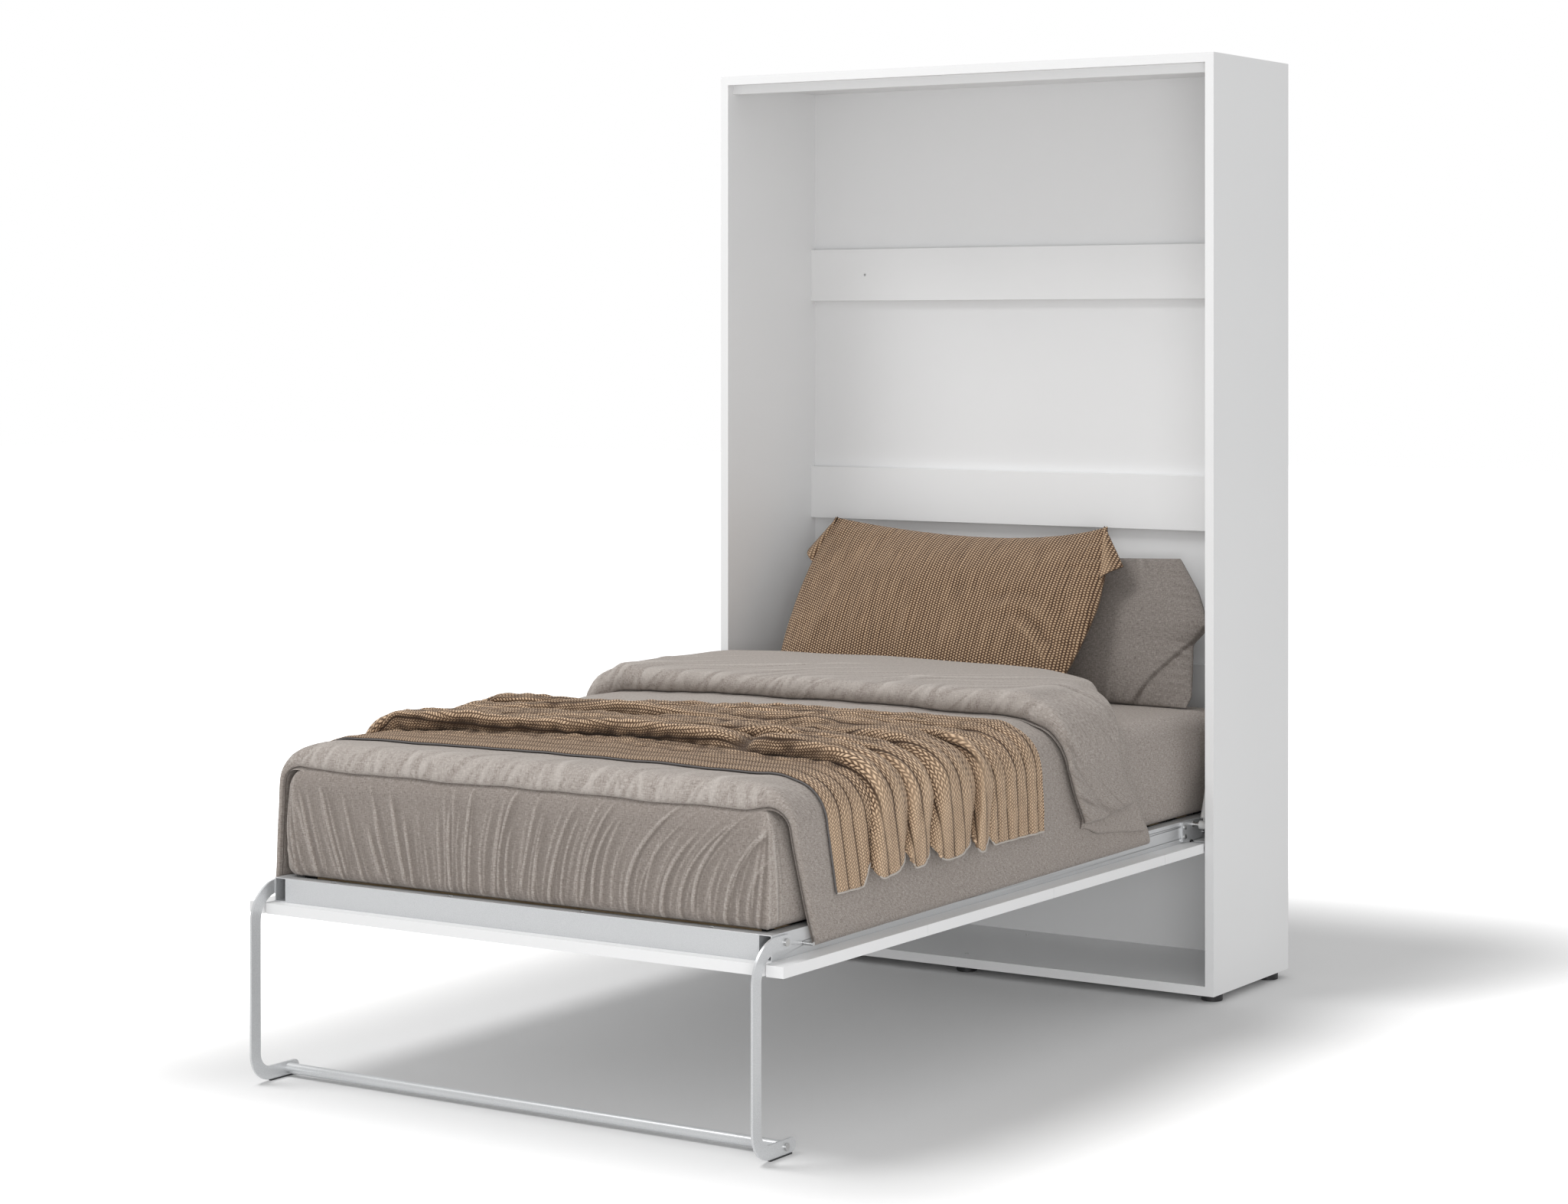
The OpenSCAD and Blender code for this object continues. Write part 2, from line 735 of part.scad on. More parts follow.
// Arm that carries the bed on the pivot
module hinge_arm(right) {
    color(silver) on_side(right) difference() {
        side_plate(rail_half, arm_t) translate([pivot_y, pivot_z]) {
            circle(arm_round_r);
            translate([-arm_round_r, 0]) square([2 * arm_round_r, arm_low + cut]);
            translate([-arm_front, arm_low]) square([arm_front + arm_back, arm_high - arm_low]);
        }
        bar_x(rail_half - cut, arm_x + cut, pivot_y, pivot_z, bush_hole_d);
        for (p = arm_bolt_at) bar_x(rail_half - cut, arm_x + cut, p[0], p[1], arm_bolt_d);
    }
}
module hinge_arm_left() { hinge_arm(false); }
module hinge_arm_right() { hinge_arm(true); }

module arm_bolts() {
    color(dark) for (right = [false, true]) on_side(right) for (p = arm_bolt_at) {
        bar_x(bolt_end_x, arm_x + arm_bolt_head_t / 2, p[0], p[1], arm_bolt_d);
        bar_x(arm_x, arm_x + arm_bolt_head_t, p[0], p[1], arm_bolt_head_d);
    }
}

module pivot_bush(right) {
    color(black) on_side(right) difference() {
        union() {
            bar_x(rail_half + touch, arm_x + bush_collar, pivot_y, pivot_z, bush_hole_d);
            bar_x(arm_x, arm_x + bush_collar, pivot_y, pivot_z, bush_collar_d);
        }
        bar_x(rail_half - cut, arm_x + bush_collar + cut, pivot_y, pivot_z, pivot_d + 2 * fit_gap);
    }
}
module pivot_bush_left() { pivot_bush(false); }
module pivot_bush_right() { pivot_bush(true); }

// Pins on the arms, which end beside the lower spring eyes
module spring_pins() {
    y = pivot_y + spring_pin_back;
    z = pivot_z + spring_pin_up;
    color(silver) for (right = [false, true]) on_side(right) {
        bar_x(arm_x, arm_x + spring_washer_t, y, z, spring_washer_d);
        bar_x(arm_x, spring_x - max(spring_eye_t, spring_d) / 2 - touch, y, z, spring_pin_d);
    }
}

module leg_bolts() {
    outer = rail_half + 2 * touch + leg_bar_t;
    color(silver) for (right = [false, true]) on_side(right) {
        bar_x(bolt_end_x, outer + leg_bolt_head_t / 2, at(leg_pivot_u), leg_pivot_z,
              leg_bolt_d);
        bar_x(outer, outer + leg_bolt_head_t, at(leg_pivot_u), leg_pivot_z, leg_bolt_head_d);
    }
}

module stop_pins() {
    color(silver) for (right = [false, true]) on_side(right)
        bar_x(bolt_end_x, rail_half + stop_pin_l, at(leg_pivot_u - stop_pin_back),
              leg_pivot_z - stop_pin_drop, stop_pin_d);
}

// Quarter bend of the flat bar, in the quadrant given by two signs
module bend(r, sx, sy) {
    intersection() {
        difference() {
            circle(r + leg_bar_w / 2);
            circle(r - leg_bar_w / 2);
        }
        translate([sx < 0 ? -2 * r : 0, sy < 0 ? -2 * r : 0]) square(2 * r);
    }
}

// Outline of the leg about its pivot, with the foot end of the bed towards -Y
module leg_outline() {
    w = leg_bar_w;
    translate([leg_tail, 0]) circle(d = w);
    translate([-leg_shoulder, -w / 2]) square([leg_shoulder + leg_tail, w]);
    translate([-leg_shoulder, -leg_top_r]) bend(leg_top_r, -1, 1);
    translate([-leg_reach - w / 2, -leg_h + leg_foot_r])
        square([w, leg_h - leg_foot_r - leg_top_r]);
    translate([-leg_reach + leg_foot_r, -leg_h + leg_foot_r]) bend(leg_foot_r, -1, -1);
    translate([-leg_reach + leg_foot_r, -leg_h - w / 2])
        square([leg_reach - leg_foot_r + leg_toe - w / 2, w]);
    translate([leg_toe - w / 2, -leg_h]) circle(d = w);
}

module leg_strap(right) {
    x = rail_half + touch;
    color(silver) on_side(right) difference() {
        side_plate(x, leg_bar_t) translate([at(leg_pivot_u), leg_pivot_z]) leg_outline();
        bar_x(x - cut, x + leg_bar_t + cut, at(leg_pivot_u), leg_pivot_z, leg_bolt_d + 2 * fit_gap);
        bar_x(x - cut, x + leg_bar_t + cut, at(leg_pivot_u), leg_foot_z, crossbar_screw_d);
    }
}
module leg_strap_left() { leg_strap(false); }
module leg_strap_right() { leg_strap(true); }

module leg_crossbar() {
    x = rail_half + touch;
    color(silver) difference() {
        bar_x(-x, x, at(leg_pivot_u), leg_foot_z, crossbar_d);
        for (sx = [-1, 1])
            bar_x(sx * (x - crossbar_screw_l - cut), sx * (x + cut), at(leg_pivot_u), leg_foot_z,
                  crossbar_screw_d);
        bar_x(-x + 2 * crossbar_screw_l, x - 2 * crossbar_screw_l, at(leg_pivot_u), leg_foot_z,
              crossbar_d - 2 * crossbar_wall);
    }
}

module crossbar_screws() {
    x = rail_half + touch;
    outer = x + leg_bar_t;
    color(silver) for (right = [false, true]) on_side(right) {
        bar_x(x - crossbar_screw_l, outer + leg_bolt_head_t / 2, at(leg_pivot_u), leg_foot_z,
              crossbar_screw_d);
        bar_x(outer, outer + leg_bolt_head_t, at(leg_pivot_u), leg_foot_z, leg_bolt_head_d);
    }
}

module foot_pads() {
    x = rail_half + touch;
    color(black) for (right = [false, true]) on_side(right)
        block([x - cut, at(leg_pivot_u + leg_reach - leg_foot_r), 0],
              [x + leg_bar_t + cut, at(leg_pivot_u - leg_toe + leg_bar_w / 2), pad_t]);
}

// Places a spring part with its lower pin at the origin and its axis along Z
module along_spring(right) {
    on_side(right) translate([spring_x, pivot_y + spring_pin_back, pivot_z + spring_pin_up])
        rotate([-spring_lean, 0, 0]) children();
}

module gas_rod(right) {
    color(dark) along_spring(right) difference() {
        union() {
            bar_x(-spring_eye_t / 2, spring_eye_t / 2, 0, spring_open_l, spring_eye_d);
            bar_z(spring_open_l - rod_l, spring_open_l - spring_eye_d / 4, 0, 0, spring_rod_d);
            bar_z(spring_open_l - rod_l, spring_open_l - rod_l + piston_l, 0, 0,
                  spring_d - 2 * spring_wall - 2 * fit_gap);
        }
        bar_x(-spring_eye_t, spring_eye_t, 0, spring_open_l, spring_pin_d + 2 * fit_gap);
    }
}
module gas_rod_left() { gas_rod(false); }
module gas_rod_right() { gas_rod(true); }

module gas_cylinder(right) {
    top = spring_foot + spring_l;
    color("gainsboro") along_spring(right) difference() {
        union() {
            bar_z(spring_foot, top, 0, 0, spring_d);
            bar_x(-spring_eye_t / 2, spring_eye_t / 2, 0, 0, spring_eye_d);
            bar_z(0, spring_foot + cut, 0, 0, spring_neck_d);
        }
        bar_z(spring_foot + rod_guide_l, top - rod_guide_l, 0, 0, spring_d - 2 * spring_wall);
        bar_z(top - 2 * rod_guide_l, top + cut, 0, 0, spring_rod_d + 2 * fit_gap);
    }
}
module gas_cylinder_left() { gas_cylinder(false); }
module gas_cylinder_right() { gas_cylinder(true); }

// Points of one level of the mattress: a rectangle with round corners, drawn in by inset
function level(inset, z) = let (
    r = max(mattress_corner_r - inset, 2),
    hx = bed_half - inset - r,
    hy = mattress_l / 2 - inset - r)
    [for (q = [0 : 3]) for (k = [0 : ring_corner]) let (
        a = 90 * (q + k / ring_corner),
        cx = (q == 0 || q == 3) ? hx : -hx,
        cy = q < 2 ? hy : -hy)
        [cx + r * cos(a), bed_mid_y + cy + r * sin(a), z]];

// Levels of the mattress from its underside to the crown, grown outwards by g
side_draw = 5;
top_insets = [60, 130, 240, 380, 520];
function skin(g, z0) = concat(
    level(side_draw - g, z0),
    level(-g, z0 + mattress_edge_r / 2),
    level(-g, mattress_edge_top - mattress_edge_r),
    [for (k = [1 : 4]) each level(mattress_edge_r * (1 - cos(k * 22.5)) - g * cos(k * 22.5),
        mattress_edge_top - mattress_edge_r * (1 - sin(k * 22.5)) + g * sin(k * 22.5))],
    [for (i = top_insets) each level(i, g + mattress_edge_top
        + mattress_crown * (1 - pow(1 - (i - mattress_edge_r) / (bed_half - mattress_edge_r), 2)))],
    [[0, bed_mid_y, mattress_top + g]]);
skin_rings = 7 + len(top_insets);

module mattress() {
    points = concat(skin(0, bed_z), [[0, bed_mid_y, bed_z]]);
    faces = concat(ring_faces(skin_rings, ring_n),
        fan_faces((skin_rings - 1) * ring_n, ring_n, skin_rings * ring_n, true),
        fan_faces(0, ring_n, skin_rings * ring_n + 1, false));
    color("white") polyhedron(points, [for (f = faces) [f[0], f[2], f[1]]], convexity = 4);
}

// Thin shell over the top and sides, open below
module fitted_sheet() {
    hem = bed_z + 1;
    outer = skin(touch + sheet_t, hem);
    inner = skin(touch, hem);
    n = len(outer);
    out_faces = concat(ring_faces(skin_rings, ring_n),
        fan_faces((skin_rings - 1) * ring_n, ring_n, skin_rings * ring_n, true));
    in_faces = [for (f = out_faces) [f[0] + n, f[2] + n, f[1] + n]];
    hem_faces = [for (j = [0 : ring_n - 1]) let (k = (j + 1) % ring_n)
        each [[j, n + j, n + k], [j, n + k, k]]];
    color(linen) polyhedron(concat(outer, inner),
        [for (f = concat(out_faces, in_faces, hem_faces)) [f[0], f[2], f[1]]], convexity = 6);
}

// Section of cloth laid over the bed: a point at place t of -1 to 1, from hem to hem.
// Place 0 is the middle, the edge of the bed is between bend_t and drop_t, and the rest hangs.
bend_t = 0.6;
drop_t = 0.8;
fall_r = 46;
function fall(t) = max(0, (abs(t) - drop_t) / (1 - drop_t));
function section(t, grow_top, grow_side, hem) = let (
    s = t < 0 ? -1 : 1,
    a = abs(t),
    hx = rail_half + touch + grow_side,
    top = mattress_edge_top + touch + sheet_t + touch + grow_top,
    flat = hx - fall_r,
    f = a / bend_t,
    turn = 90 * (a - bend_t) / (drop_t - bend_t))
    a <= bend_t ? [s * f * flat, top + mattress_crown * (1 - f * f)]
    : a <= drop_t ? [s * (flat + fall_r * sin(turn)), top - fall_r * (1 - cos(turn))]
    : [s * hx, mix(top - fall_r, hem, fall(t))];

// Places across the bed: fine at the edges, wide in the middle
half_places = concat([for (f = [1 : 3]) f * bend_t / 4],
    [for (f = steps(4)) mix(bend_t, drop_t, f)],
    [for (f = [1 : 3]) mix(drop_t, 1, f / 3)]);
half_n = len(half_places);
places = concat([for (k = [half_n - 1 : -1 : 0]) -half_places[k]], [0], half_places);
place_n = len(places);

// Closes rows of sections, outer side there and inner side back, into one solid
function cloth_faces(rows) = let (n = 2 * place_n, last = (rows - 1) * n)
    concat(ring_faces(rows, n), [for (j = [0 : place_n - 2]) each [
        [j, n - 1 - j, n - 2 - j], [j, n - 2 - j, j + 1],
        [last + j, last + j + 1, last + n - 2 - j], [last + j, last + n - 2 - j, last + n - 1 - j]]]);
module cloth(rows, colour) {
    color(colour) polyhedron([for (row = rows) each [for (p = row) p]],
        [for (f = cloth_faces(len(rows))) [f[0], f[2], f[1]]], convexity = 10);
}

duvet_foot_u = mattress_foot_u - duvet_set;
duvet_end_u = duvet_head_set - head_set_back;
duvet_fold_u = duvet_end_u + duvet_fold_w;
duvet_hem = deck_z + duvet_hem_up;
fold_hem = bed_z - duvet_t / 2;
// Rows of the duvet: place along the bed, thickness on top, thickness at the side, slant, hem, and
// share of the head edge's pull forward at the edges of the bed.
// The foot edge is rounded, then a level stretch leads to the fold, which is rounded at both ends.
foot_slant = 95;
fold_slant = 200;
foot_round = 36;
fold_lead = 130;
fold_round = 70;
end_round = 50;
edge_side_t = 4;
fold_side_t = duvet_side_t + 5;
duvet_rows = [
    [duvet_foot_u, duvet_t * 0.35, edge_side_t, foot_slant, duvet_hem, 0],
    [duvet_foot_u - foot_round / 3, duvet_t * 0.85, duvet_side_t * 0.8, foot_slant, duvet_hem, 0],
    [duvet_foot_u - foot_round, duvet_t, duvet_side_t, foot_slant, duvet_hem, 0],
    [mix(duvet_foot_u, duvet_fold_u, 0.4), duvet_t, duvet_side_t, foot_slant, duvet_hem, 0],
    [duvet_fold_u + fold_lead, duvet_t, duvet_side_t, foot_slant, duvet_hem, 0],
    [duvet_fold_u + fold_lead * 0.3, duvet_t, duvet_side_t, fold_slant, duvet_hem, 0],
    [duvet_fold_u + fold_lead * 0.03, duvet_t * 1.1, duvet_side_t, fold_slant, duvet_hem, 0],
    [duvet_fold_u, duvet_fold_t * 0.72, fold_side_t - 1, fold_slant, fold_hem, 0],
    [duvet_fold_u - fold_round / 3, duvet_fold_t * 0.95, fold_side_t, fold_slant, fold_hem, 0],
    [duvet_fold_u - fold_round, duvet_fold_t, fold_side_t, fold_slant, fold_hem, 0],
    [mix(duvet_fold_u, duvet_end_u, 0.6), duvet_fold_t * 0.94, fold_side_t, fold_slant, fold_hem, 0.6],
    [duvet_end_u + end_round, duvet_fold_t * 0.84, fold_side_t, fold_slant, fold_hem, 1],
    [duvet_end_u + end_round / 3, duvet_fold_t * 0.6, duvet_side_t, fold_slant, fold_hem, 1],
    [duvet_end_u, duvet_fold_t * 0.2, edge_side_t, fold_slant, fold_hem, 1]];
function pull(t) = pow(min(1, abs(t) / drop_t), 4) * (t > 0 ? duvet_pull_right : duvet_pull_left);
function cloth_point(t, u, grow_top, grow_side, slant, hem, share) = let (
    p = section(t, grow_top, grow_side, hem))
    [p[0], at(u - slant * fall(t) + share * pull(t)), p[1]];
module duvet() {
    rows = [for (r = duvet_rows) concat(
        [for (t = places) cloth_point(t, r[0], r[1], r[2], r[3], r[4], r[5])],
        [for (k = [place_n - 1 : -1 : 0]) cloth_point(places[k], r[0], 0, 0, r[3], r[4], r[5])])];
    cloth(rows, linen);
}

// The throw lies on the duvet, and its folds run across the bed and down the side.
// Its folds are lower in the middle of the bed, and none reaches its front or rear edge.
throw_gap = 0.7;
throw_rows = 20;
throw_drop = 165;
throw_slant = 40;
throw_folds = 3.5;
throw_mid = 0.45;
throw_spread = 0.83;
throw_edge = 0.25;
side_part = 0.3;
throw_front_u = duvet_foot_u - throw_set;
function throw_lift(f, t) = throw_wave * pow(sin(f * 180 * throw_folds), 2)
    * mix(throw_mid, 1, min(1, abs(t) / throw_spread))
    * min(1, f / throw_edge) * min(1, (1 - f) / throw_edge);
function throw_back_u(t) = duvet_fold_u + mix(throw_back_left, throw_back_right, (t + 1) / 2);
function throw_u(f, t) = mix(throw_front_u, throw_back_u(t), f);
function throw_point(f, t, g) = let (
    lift = g + throw_lift(f, t),
    p = section(t, duvet_t + lift, duvet_side_t + side_part * g + (1 - side_part) * lift,
        mattress_edge_top - throw_drop))
    [p[0], at(throw_u(f, t) - throw_slant * fall(t)), p[1]];
module throw() {
    rows = [for (f = steps(throw_rows)) concat(
        [for (t = places) throw_point(f, t, throw_gap + throw_t)],
        [for (k = [place_n - 1 : -1 : 0]) throw_point(f, places[k], throw_gap)])];
    cloth(rows, caramel);
}

// A pillow: crowned faces, sides drawn in between the corners, thin seams
pillow_cols = 16;
pillow_rows = 10;
seam_t = 4;
draw_in = 0.05;
pillow_sink = 16;
function bulge(a) = pow(max(0, 1 - pow(abs(a), 2.4)), 0.6);
function pillow_point(a, b, side, h, t) = let (
    x = pillow_w / 2 * a * (1 - draw_in * (1 - b * b)),
    y = h / 2 * b * (1 - draw_in * (1 - a * a)))
    [x, side * (seam_t / 2 + (t - seam_t) / 2 * bulge(a) * bulge(b)), y];
function grid(side, h, t) = [for (j = [0 : pillow_rows], i = [0 : pillow_cols])
    pillow_point(2 * i / pillow_cols - 1, 2 * j / pillow_rows - 1, side, h, t)];
// Leans a point back by an angle and moves it to its place. The low edge is pressed flat on the bed.
function leaned(p, lean, x, u, floor_z, h) = [
    p[0] + x,
    at(u) + p[1] * cos(lean) + p[2] * sin(lean),
    max(floor_z, floor_z - pillow_sink - p[1] * sin(lean) + (p[2] + h / 2) * cos(lean))];
module pillow(lean, x, u, h, t) {
    floor_z = sheet_z(u + h / 2 * sin(lean)) + touch;
    n = (pillow_cols + 1) * (pillow_rows + 1);
    c = pillow_cols + 1;
    points = [for (p = concat(grid(-1, h, t), grid(1, h, t))) leaned(p, lean, x, u, floor_z, h)];
    front = [for (j = [0 : pillow_rows - 1], i = [0 : pillow_cols - 1]) let (k = j * c + i)
        each [[k, k + 1, k + c + 1], [k, k + c + 1, k + c]]];
    back = [for (f = front) [f[0] + n, f[2] + n, f[1] + n]];
    low = [for (i = [0 : pillow_cols - 1]) each [[i, n + i, n + i + 1], [i, n + i + 1, i + 1]]];
    high = [for (i = [0 : pillow_cols - 1]) let (k = pillow_rows * c + i)
        each [[k, k + 1, n + k + 1], [k, n + k + 1, n + k]]];
    left = [for (j = [0 : pillow_rows - 1]) let (k = j * c)
        each [[k, k + c, n + k + c], [k, n + k + c, n + k]]];
    right = [for (j = [0 : pillow_rows - 1]) let (k = j * c + pillow_cols)
        each [[k, n + k, n + k + c], [k, n + k + c, k + c]]];
    faces = concat(front, back, low, high, left, right);
    polyhedron(points, [for (f = faces) [f[0], f[2], f[1]]], convexity = 4);
}
// Height of the made bed at a distance u in front of the cabinet, along its middle line
function sheet_z(u) = let (inset = min(u + head_set_back, bed_half))
    mattress_edge_top + touch + sheet_t
    + mattress_crown * (1 - pow(1 - (inset - mattress_edge_r) / (bed_half - mattress_edge_r), 2));
// Lean of each pillow, and the thickness of the rear one
front_lean = 35;
rear_lean = 28;
rear_t = 0.8 * pillow_t;
module front_pillow() {
    color(caramel) pillow(front_lean, -front_left, front_set - head_set_back, pillow_h, pillow_t);
}
module rear_pillow() {
    color(linen) pillow(rear_lean, rear_right, rear_set - head_set_back, rear_h, rear_t);
}

side_panel_left();
side_panel_right();
top_panel();
bottom_panel();
back_panel();
stop_strip();
back_rail_lower();
back_rail_middle();
back_rail_upper();
cabinet_dowels();
cabinet_screws();
back_screws();
cabinet_feet();
foot_screws();
hinge_plate_left();
hinge_plate_right();
hinge_screws();
spring_clips();
deck_panel_1();
deck_panel_2();
deck_panel_3();
deck_panel_4();
deck_screws();
side_rail_left();
side_rail_right();
foot_rail();
head_rail();
middle_rails();
slats();
slat_holders();
hinge_arm_left();
hinge_arm_right();
arm_bolts();
pivot_bush_left();
pivot_bush_right();
spring_pins();
leg_bolts();
stop_pins();
leg_strap_left();
leg_strap_right();
leg_crossbar();
crossbar_screws();
foot_pads();
gas_rod_left();
gas_rod_right();
gas_cylinder_left();
gas_cylinder_right();
mattress();
fitted_sheet();
duvet();
throw();
front_pillow();
rear_pillow();
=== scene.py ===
"""Looks of the open wall bed: cabinet and steel finishes, bedding, camera and light.

Lengths are metres. Across the bed is X, the wall is at +Y, and u is the distance in front of the
cabinet, so that the foot of the bed has the greatest u."""
import json
import math

import bpy
import numpy as np
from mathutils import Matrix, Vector


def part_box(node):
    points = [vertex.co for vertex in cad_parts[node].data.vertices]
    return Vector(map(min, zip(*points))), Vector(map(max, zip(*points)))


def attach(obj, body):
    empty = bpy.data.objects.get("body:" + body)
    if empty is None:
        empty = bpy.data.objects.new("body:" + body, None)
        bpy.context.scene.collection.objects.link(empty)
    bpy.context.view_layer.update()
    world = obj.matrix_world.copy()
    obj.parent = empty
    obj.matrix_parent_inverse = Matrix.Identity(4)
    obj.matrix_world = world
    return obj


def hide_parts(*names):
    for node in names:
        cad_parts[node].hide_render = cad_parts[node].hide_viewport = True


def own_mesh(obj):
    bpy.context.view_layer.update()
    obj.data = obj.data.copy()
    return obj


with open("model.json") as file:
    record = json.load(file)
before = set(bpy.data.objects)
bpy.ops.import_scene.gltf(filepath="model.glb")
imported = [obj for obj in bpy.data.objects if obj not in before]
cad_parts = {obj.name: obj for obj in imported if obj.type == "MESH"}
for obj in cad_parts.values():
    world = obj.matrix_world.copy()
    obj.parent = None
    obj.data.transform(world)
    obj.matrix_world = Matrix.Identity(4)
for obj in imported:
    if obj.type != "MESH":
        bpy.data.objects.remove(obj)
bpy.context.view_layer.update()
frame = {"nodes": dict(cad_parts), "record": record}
NODES = frame["nodes"]
RECORD = frame["record"]

# Places read from the frame
PANEL_LOW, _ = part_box("side_panel_right")
MATTRESS_LOW, MATTRESS_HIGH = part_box("mattress")
DUVET_LOW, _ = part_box("duvet")
_, RAIL_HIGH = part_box("side_rail_right")

MM = 0.001
FRONT_Y = PANEL_LOW.y
SIDE_INNER = PANEL_LOW.x
RAIL_TOP = RAIL_HIGH.z
ROUND_EDGE = 0.7 * MM

# Mattress and sheet: TOUCH keeps pieces that meet apart, and CROWN is the rise to the middle
TOUCH = 0.3 * MM
CROWN = 16 * MM
BED_Z = MATTRESS_LOW.z
BED_HALF = MATTRESS_HIGH.x
FOOT_U = FRONT_Y - MATTRESS_LOW.y
HEAD_U = FRONT_Y - MATTRESS_HIGH.y
EDGE_TOP = MATTRESS_HIGH.z - CROWN
SHEET_T = 1.5 * MM
SHEET_TOP = EDGE_TOP + TOUCH + SHEET_T

# Section of the cloth that hangs outside the rails: half its width, the round at its edge, the level
# part and the way round the edge, and the round of the foot edge
HANG_HALF = RAIL_HIGH.x + TOUCH
FALL_R = 46 * MM
FLAT = HANG_HALF - FALL_R
BEND = FALL_R * math.pi / 2
FOOT_ROUND = 56 * MM

# A rib of the knit, which holds four chains of two strands
RIB = 45 * MM
STRAND = RIB / 8

# The camera solved from the photo's corners, and the strength of the white room
CAMERA_PLACE = (4.022, -6.249, 1.549)
CAMERA_TURN = 33.005
CAMERA_LENS = 76.0
CAMERA_SENSOR = 36.0
CAMERA_SHIFT = -0.1704
ROOM_LIGHT = 0.66

# Rectangle of the floor that shows the shadows, as middle and half size, the width of its soft border,
# and the greys that the camera sees in it, beyond it, and that the bed is lit by
SHADE_ACROSS = (0.05, 0.75)
SHADE_ALONG = (0.30, 1.30)
SHADE_FADE = 0.85
SHADE_GREY = (0.78, 0.78, 0.78)
OUTER_WHITE = (1.70, 1.70, 1.70)
FLOOR_GREY = (0.85, 0.85, 0.85)
FLOOR_HALF = 30.0

# Linen as painted shade in the hollows of folds, its dark, middle and pale yarns, and as painted
# highlights on the crests of folds
LINEN_COLORS = ((0.125, 0.100, 0.083), (0.215, 0.181, 0.158), (0.342, 0.300, 0.270),
                (0.470, 0.424, 0.388), (0.620, 0.576, 0.535))
# Knit: dark, middle and pale yarn; the dark also serves as painted shade in the grooves and fold hollows,
# the pale as painted highlights on fold crests
KNIT_DARK = (0.048, 0.024, 0.011)
KNIT_MID = (0.335, 0.218, 0.134)
KNIT_PALE = (0.780, 0.570, 0.385)
# Weave: dark, middle and pale yarn; the dark also serves as painted shade in fold hollows, the pale as
# painted highlights on fold crests
WEAVE_DARK = (0.036, 0.017, 0.008)
WEAVE_MID = (0.160, 0.088, 0.045)
WEAVE_PALE = (0.590, 0.420, 0.272)


# Numbers: smooth steps, noise and creases

def blend(a, b, f):
    """a where f is 0, b where f is 1."""
    return a + (b - a) * f


def smooth(low, high, x):
    """0 below low, 1 above high, and a smooth step between them."""
    f = np.clip((x - low) / (high - low), 0, 1)
    return f * f * (3 - 2 * f)


def noise(x, y, seed):
    """Smooth noise of about -1 to 1 with one bump per unit of x and y."""
    angles = np.random.default_rng(seed).uniform(0, 2 * math.pi, (64, 64))
    x, y = np.broadcast_arrays(np.asarray(x, float), np.asarray(y, float))
    cell_x = np.floor(x).astype(int)
    cell_y = np.floor(y).astype(int)
    fx = x - cell_x
    fy = y - cell_y
    step_x = fx ** 3 * (fx * (6 * fx - 15) + 10)
    step_y = fy ** 3 * (fy * (6 * fy - 15) + 10)
    total = np.zeros(x.shape)
    for i in (0, 1):
        for j in (0, 1):
            angle = angles[(cell_x + i) % 64, (cell_y + j) % 64]
            share = (step_x if i else 1 - step_x) * (step_y if j else 1 - step_y)
            total += share * (np.cos(angle) * (fx - i) + np.sin(angle) * (fy - j))
    return 1.5 * total


def ridge(distance, width):
    """A crease seen across: a rounded crest that falls off on both sides."""
    return np.exp(-(np.abs(distance) / width) ** 1.5)


def spread(low, high, step, seed):
    """Places from low to high about a step apart."""
    rng = np.random.default_rng(seed)
    count = int((high - low) / step)
    return low + (np.arange(count) + 0.5 + rng.uniform(-0.45, 0.45, count)) * step


def creases(across, along, places, seed, lengths, depths, widths, lean, wander, bow=0.0, grow=0.25):
    """Creases that start where along is 0, spread over the low, high and step of places, and run in the
    direction of along. Lengths are in metres, depths and widths in millimetres. Each crease has its own;
    a negative depth is a valley."""
    rng = np.random.default_rng(seed + 1)
    total = np.zeros(np.broadcast(across, along).shape)
    for start in spread(*places, seed):
        length = rng.uniform(*lengths)
        depth = rng.uniform(*depths) * rng.choice([-1, 1]) * MM
        width = rng.uniform(*widths) * MM
        slope = lean + rng.normal() * wander
        f = along / length
        path = start + slope * along + bow * length * f * (1 - f)
        share = smooth(0, grow, f) * (1 - smooth(0.45, 1, f)) if grow else 1 - smooth(0.3, 1, f)
        total += depth * share * ridge(across - path, width)
    return total


def soften(values, times, axis=0):
    """Values smoothed along an axis, with both ends kept."""
    values = np.array(values, float)
    moved = np.moveaxis(values, axis, 0)
    for _ in range(times):
        moved[1:-1] = (moved[:-2] + 2 * moved[1:-1] + moved[2:]) / 4
    return values


def crests(height, scale, times=12):
    """-1 in the hollows and 1 on the crests of a grid of heights; scale is a crest's height."""
    return np.tanh((height - soften(soften(height, times), times, 1)) / scale)


def travel(u, lift):
    """Way along the rows of a cloth, from its first row."""
    step = np.hypot(np.diff(u, axis=0), np.diff(lift, axis=0))
    return np.concatenate([np.zeros((1, u.shape[1])), np.cumsum(step, axis=0)])


# Meshes

def quads(rows, cols, start=0, flip=False):
    """Faces of a grid of rows by cols points."""
    i, j = np.meshgrid(np.arange(rows - 1), np.arange(cols - 1), indexing="ij")
    k = (start + i * cols + j).ravel()
    faces = np.stack([k, k + 1, k + cols + 1, k + cols], axis=1)
    return faces[:, ::-1] if flip else faces


def put(name, data, place=(0, 0, 0), turn=(0, 0, 0)):
    """Puts an object of this data into the scene."""
    item = bpy.data.objects.new(name, data)
    item.location = place
    item.rotation_euler = turn
    bpy.context.scene.collection.objects.link(item)
    return item


def read(rows, name, width=1, kind=float):
    """One property of a mesh's points, faces or corners as an array."""
    values = np.zeros(len(rows) * width, kind)
    rows.foreach_get(name, values)
    return values.reshape(-1, width) if width > 1 else values


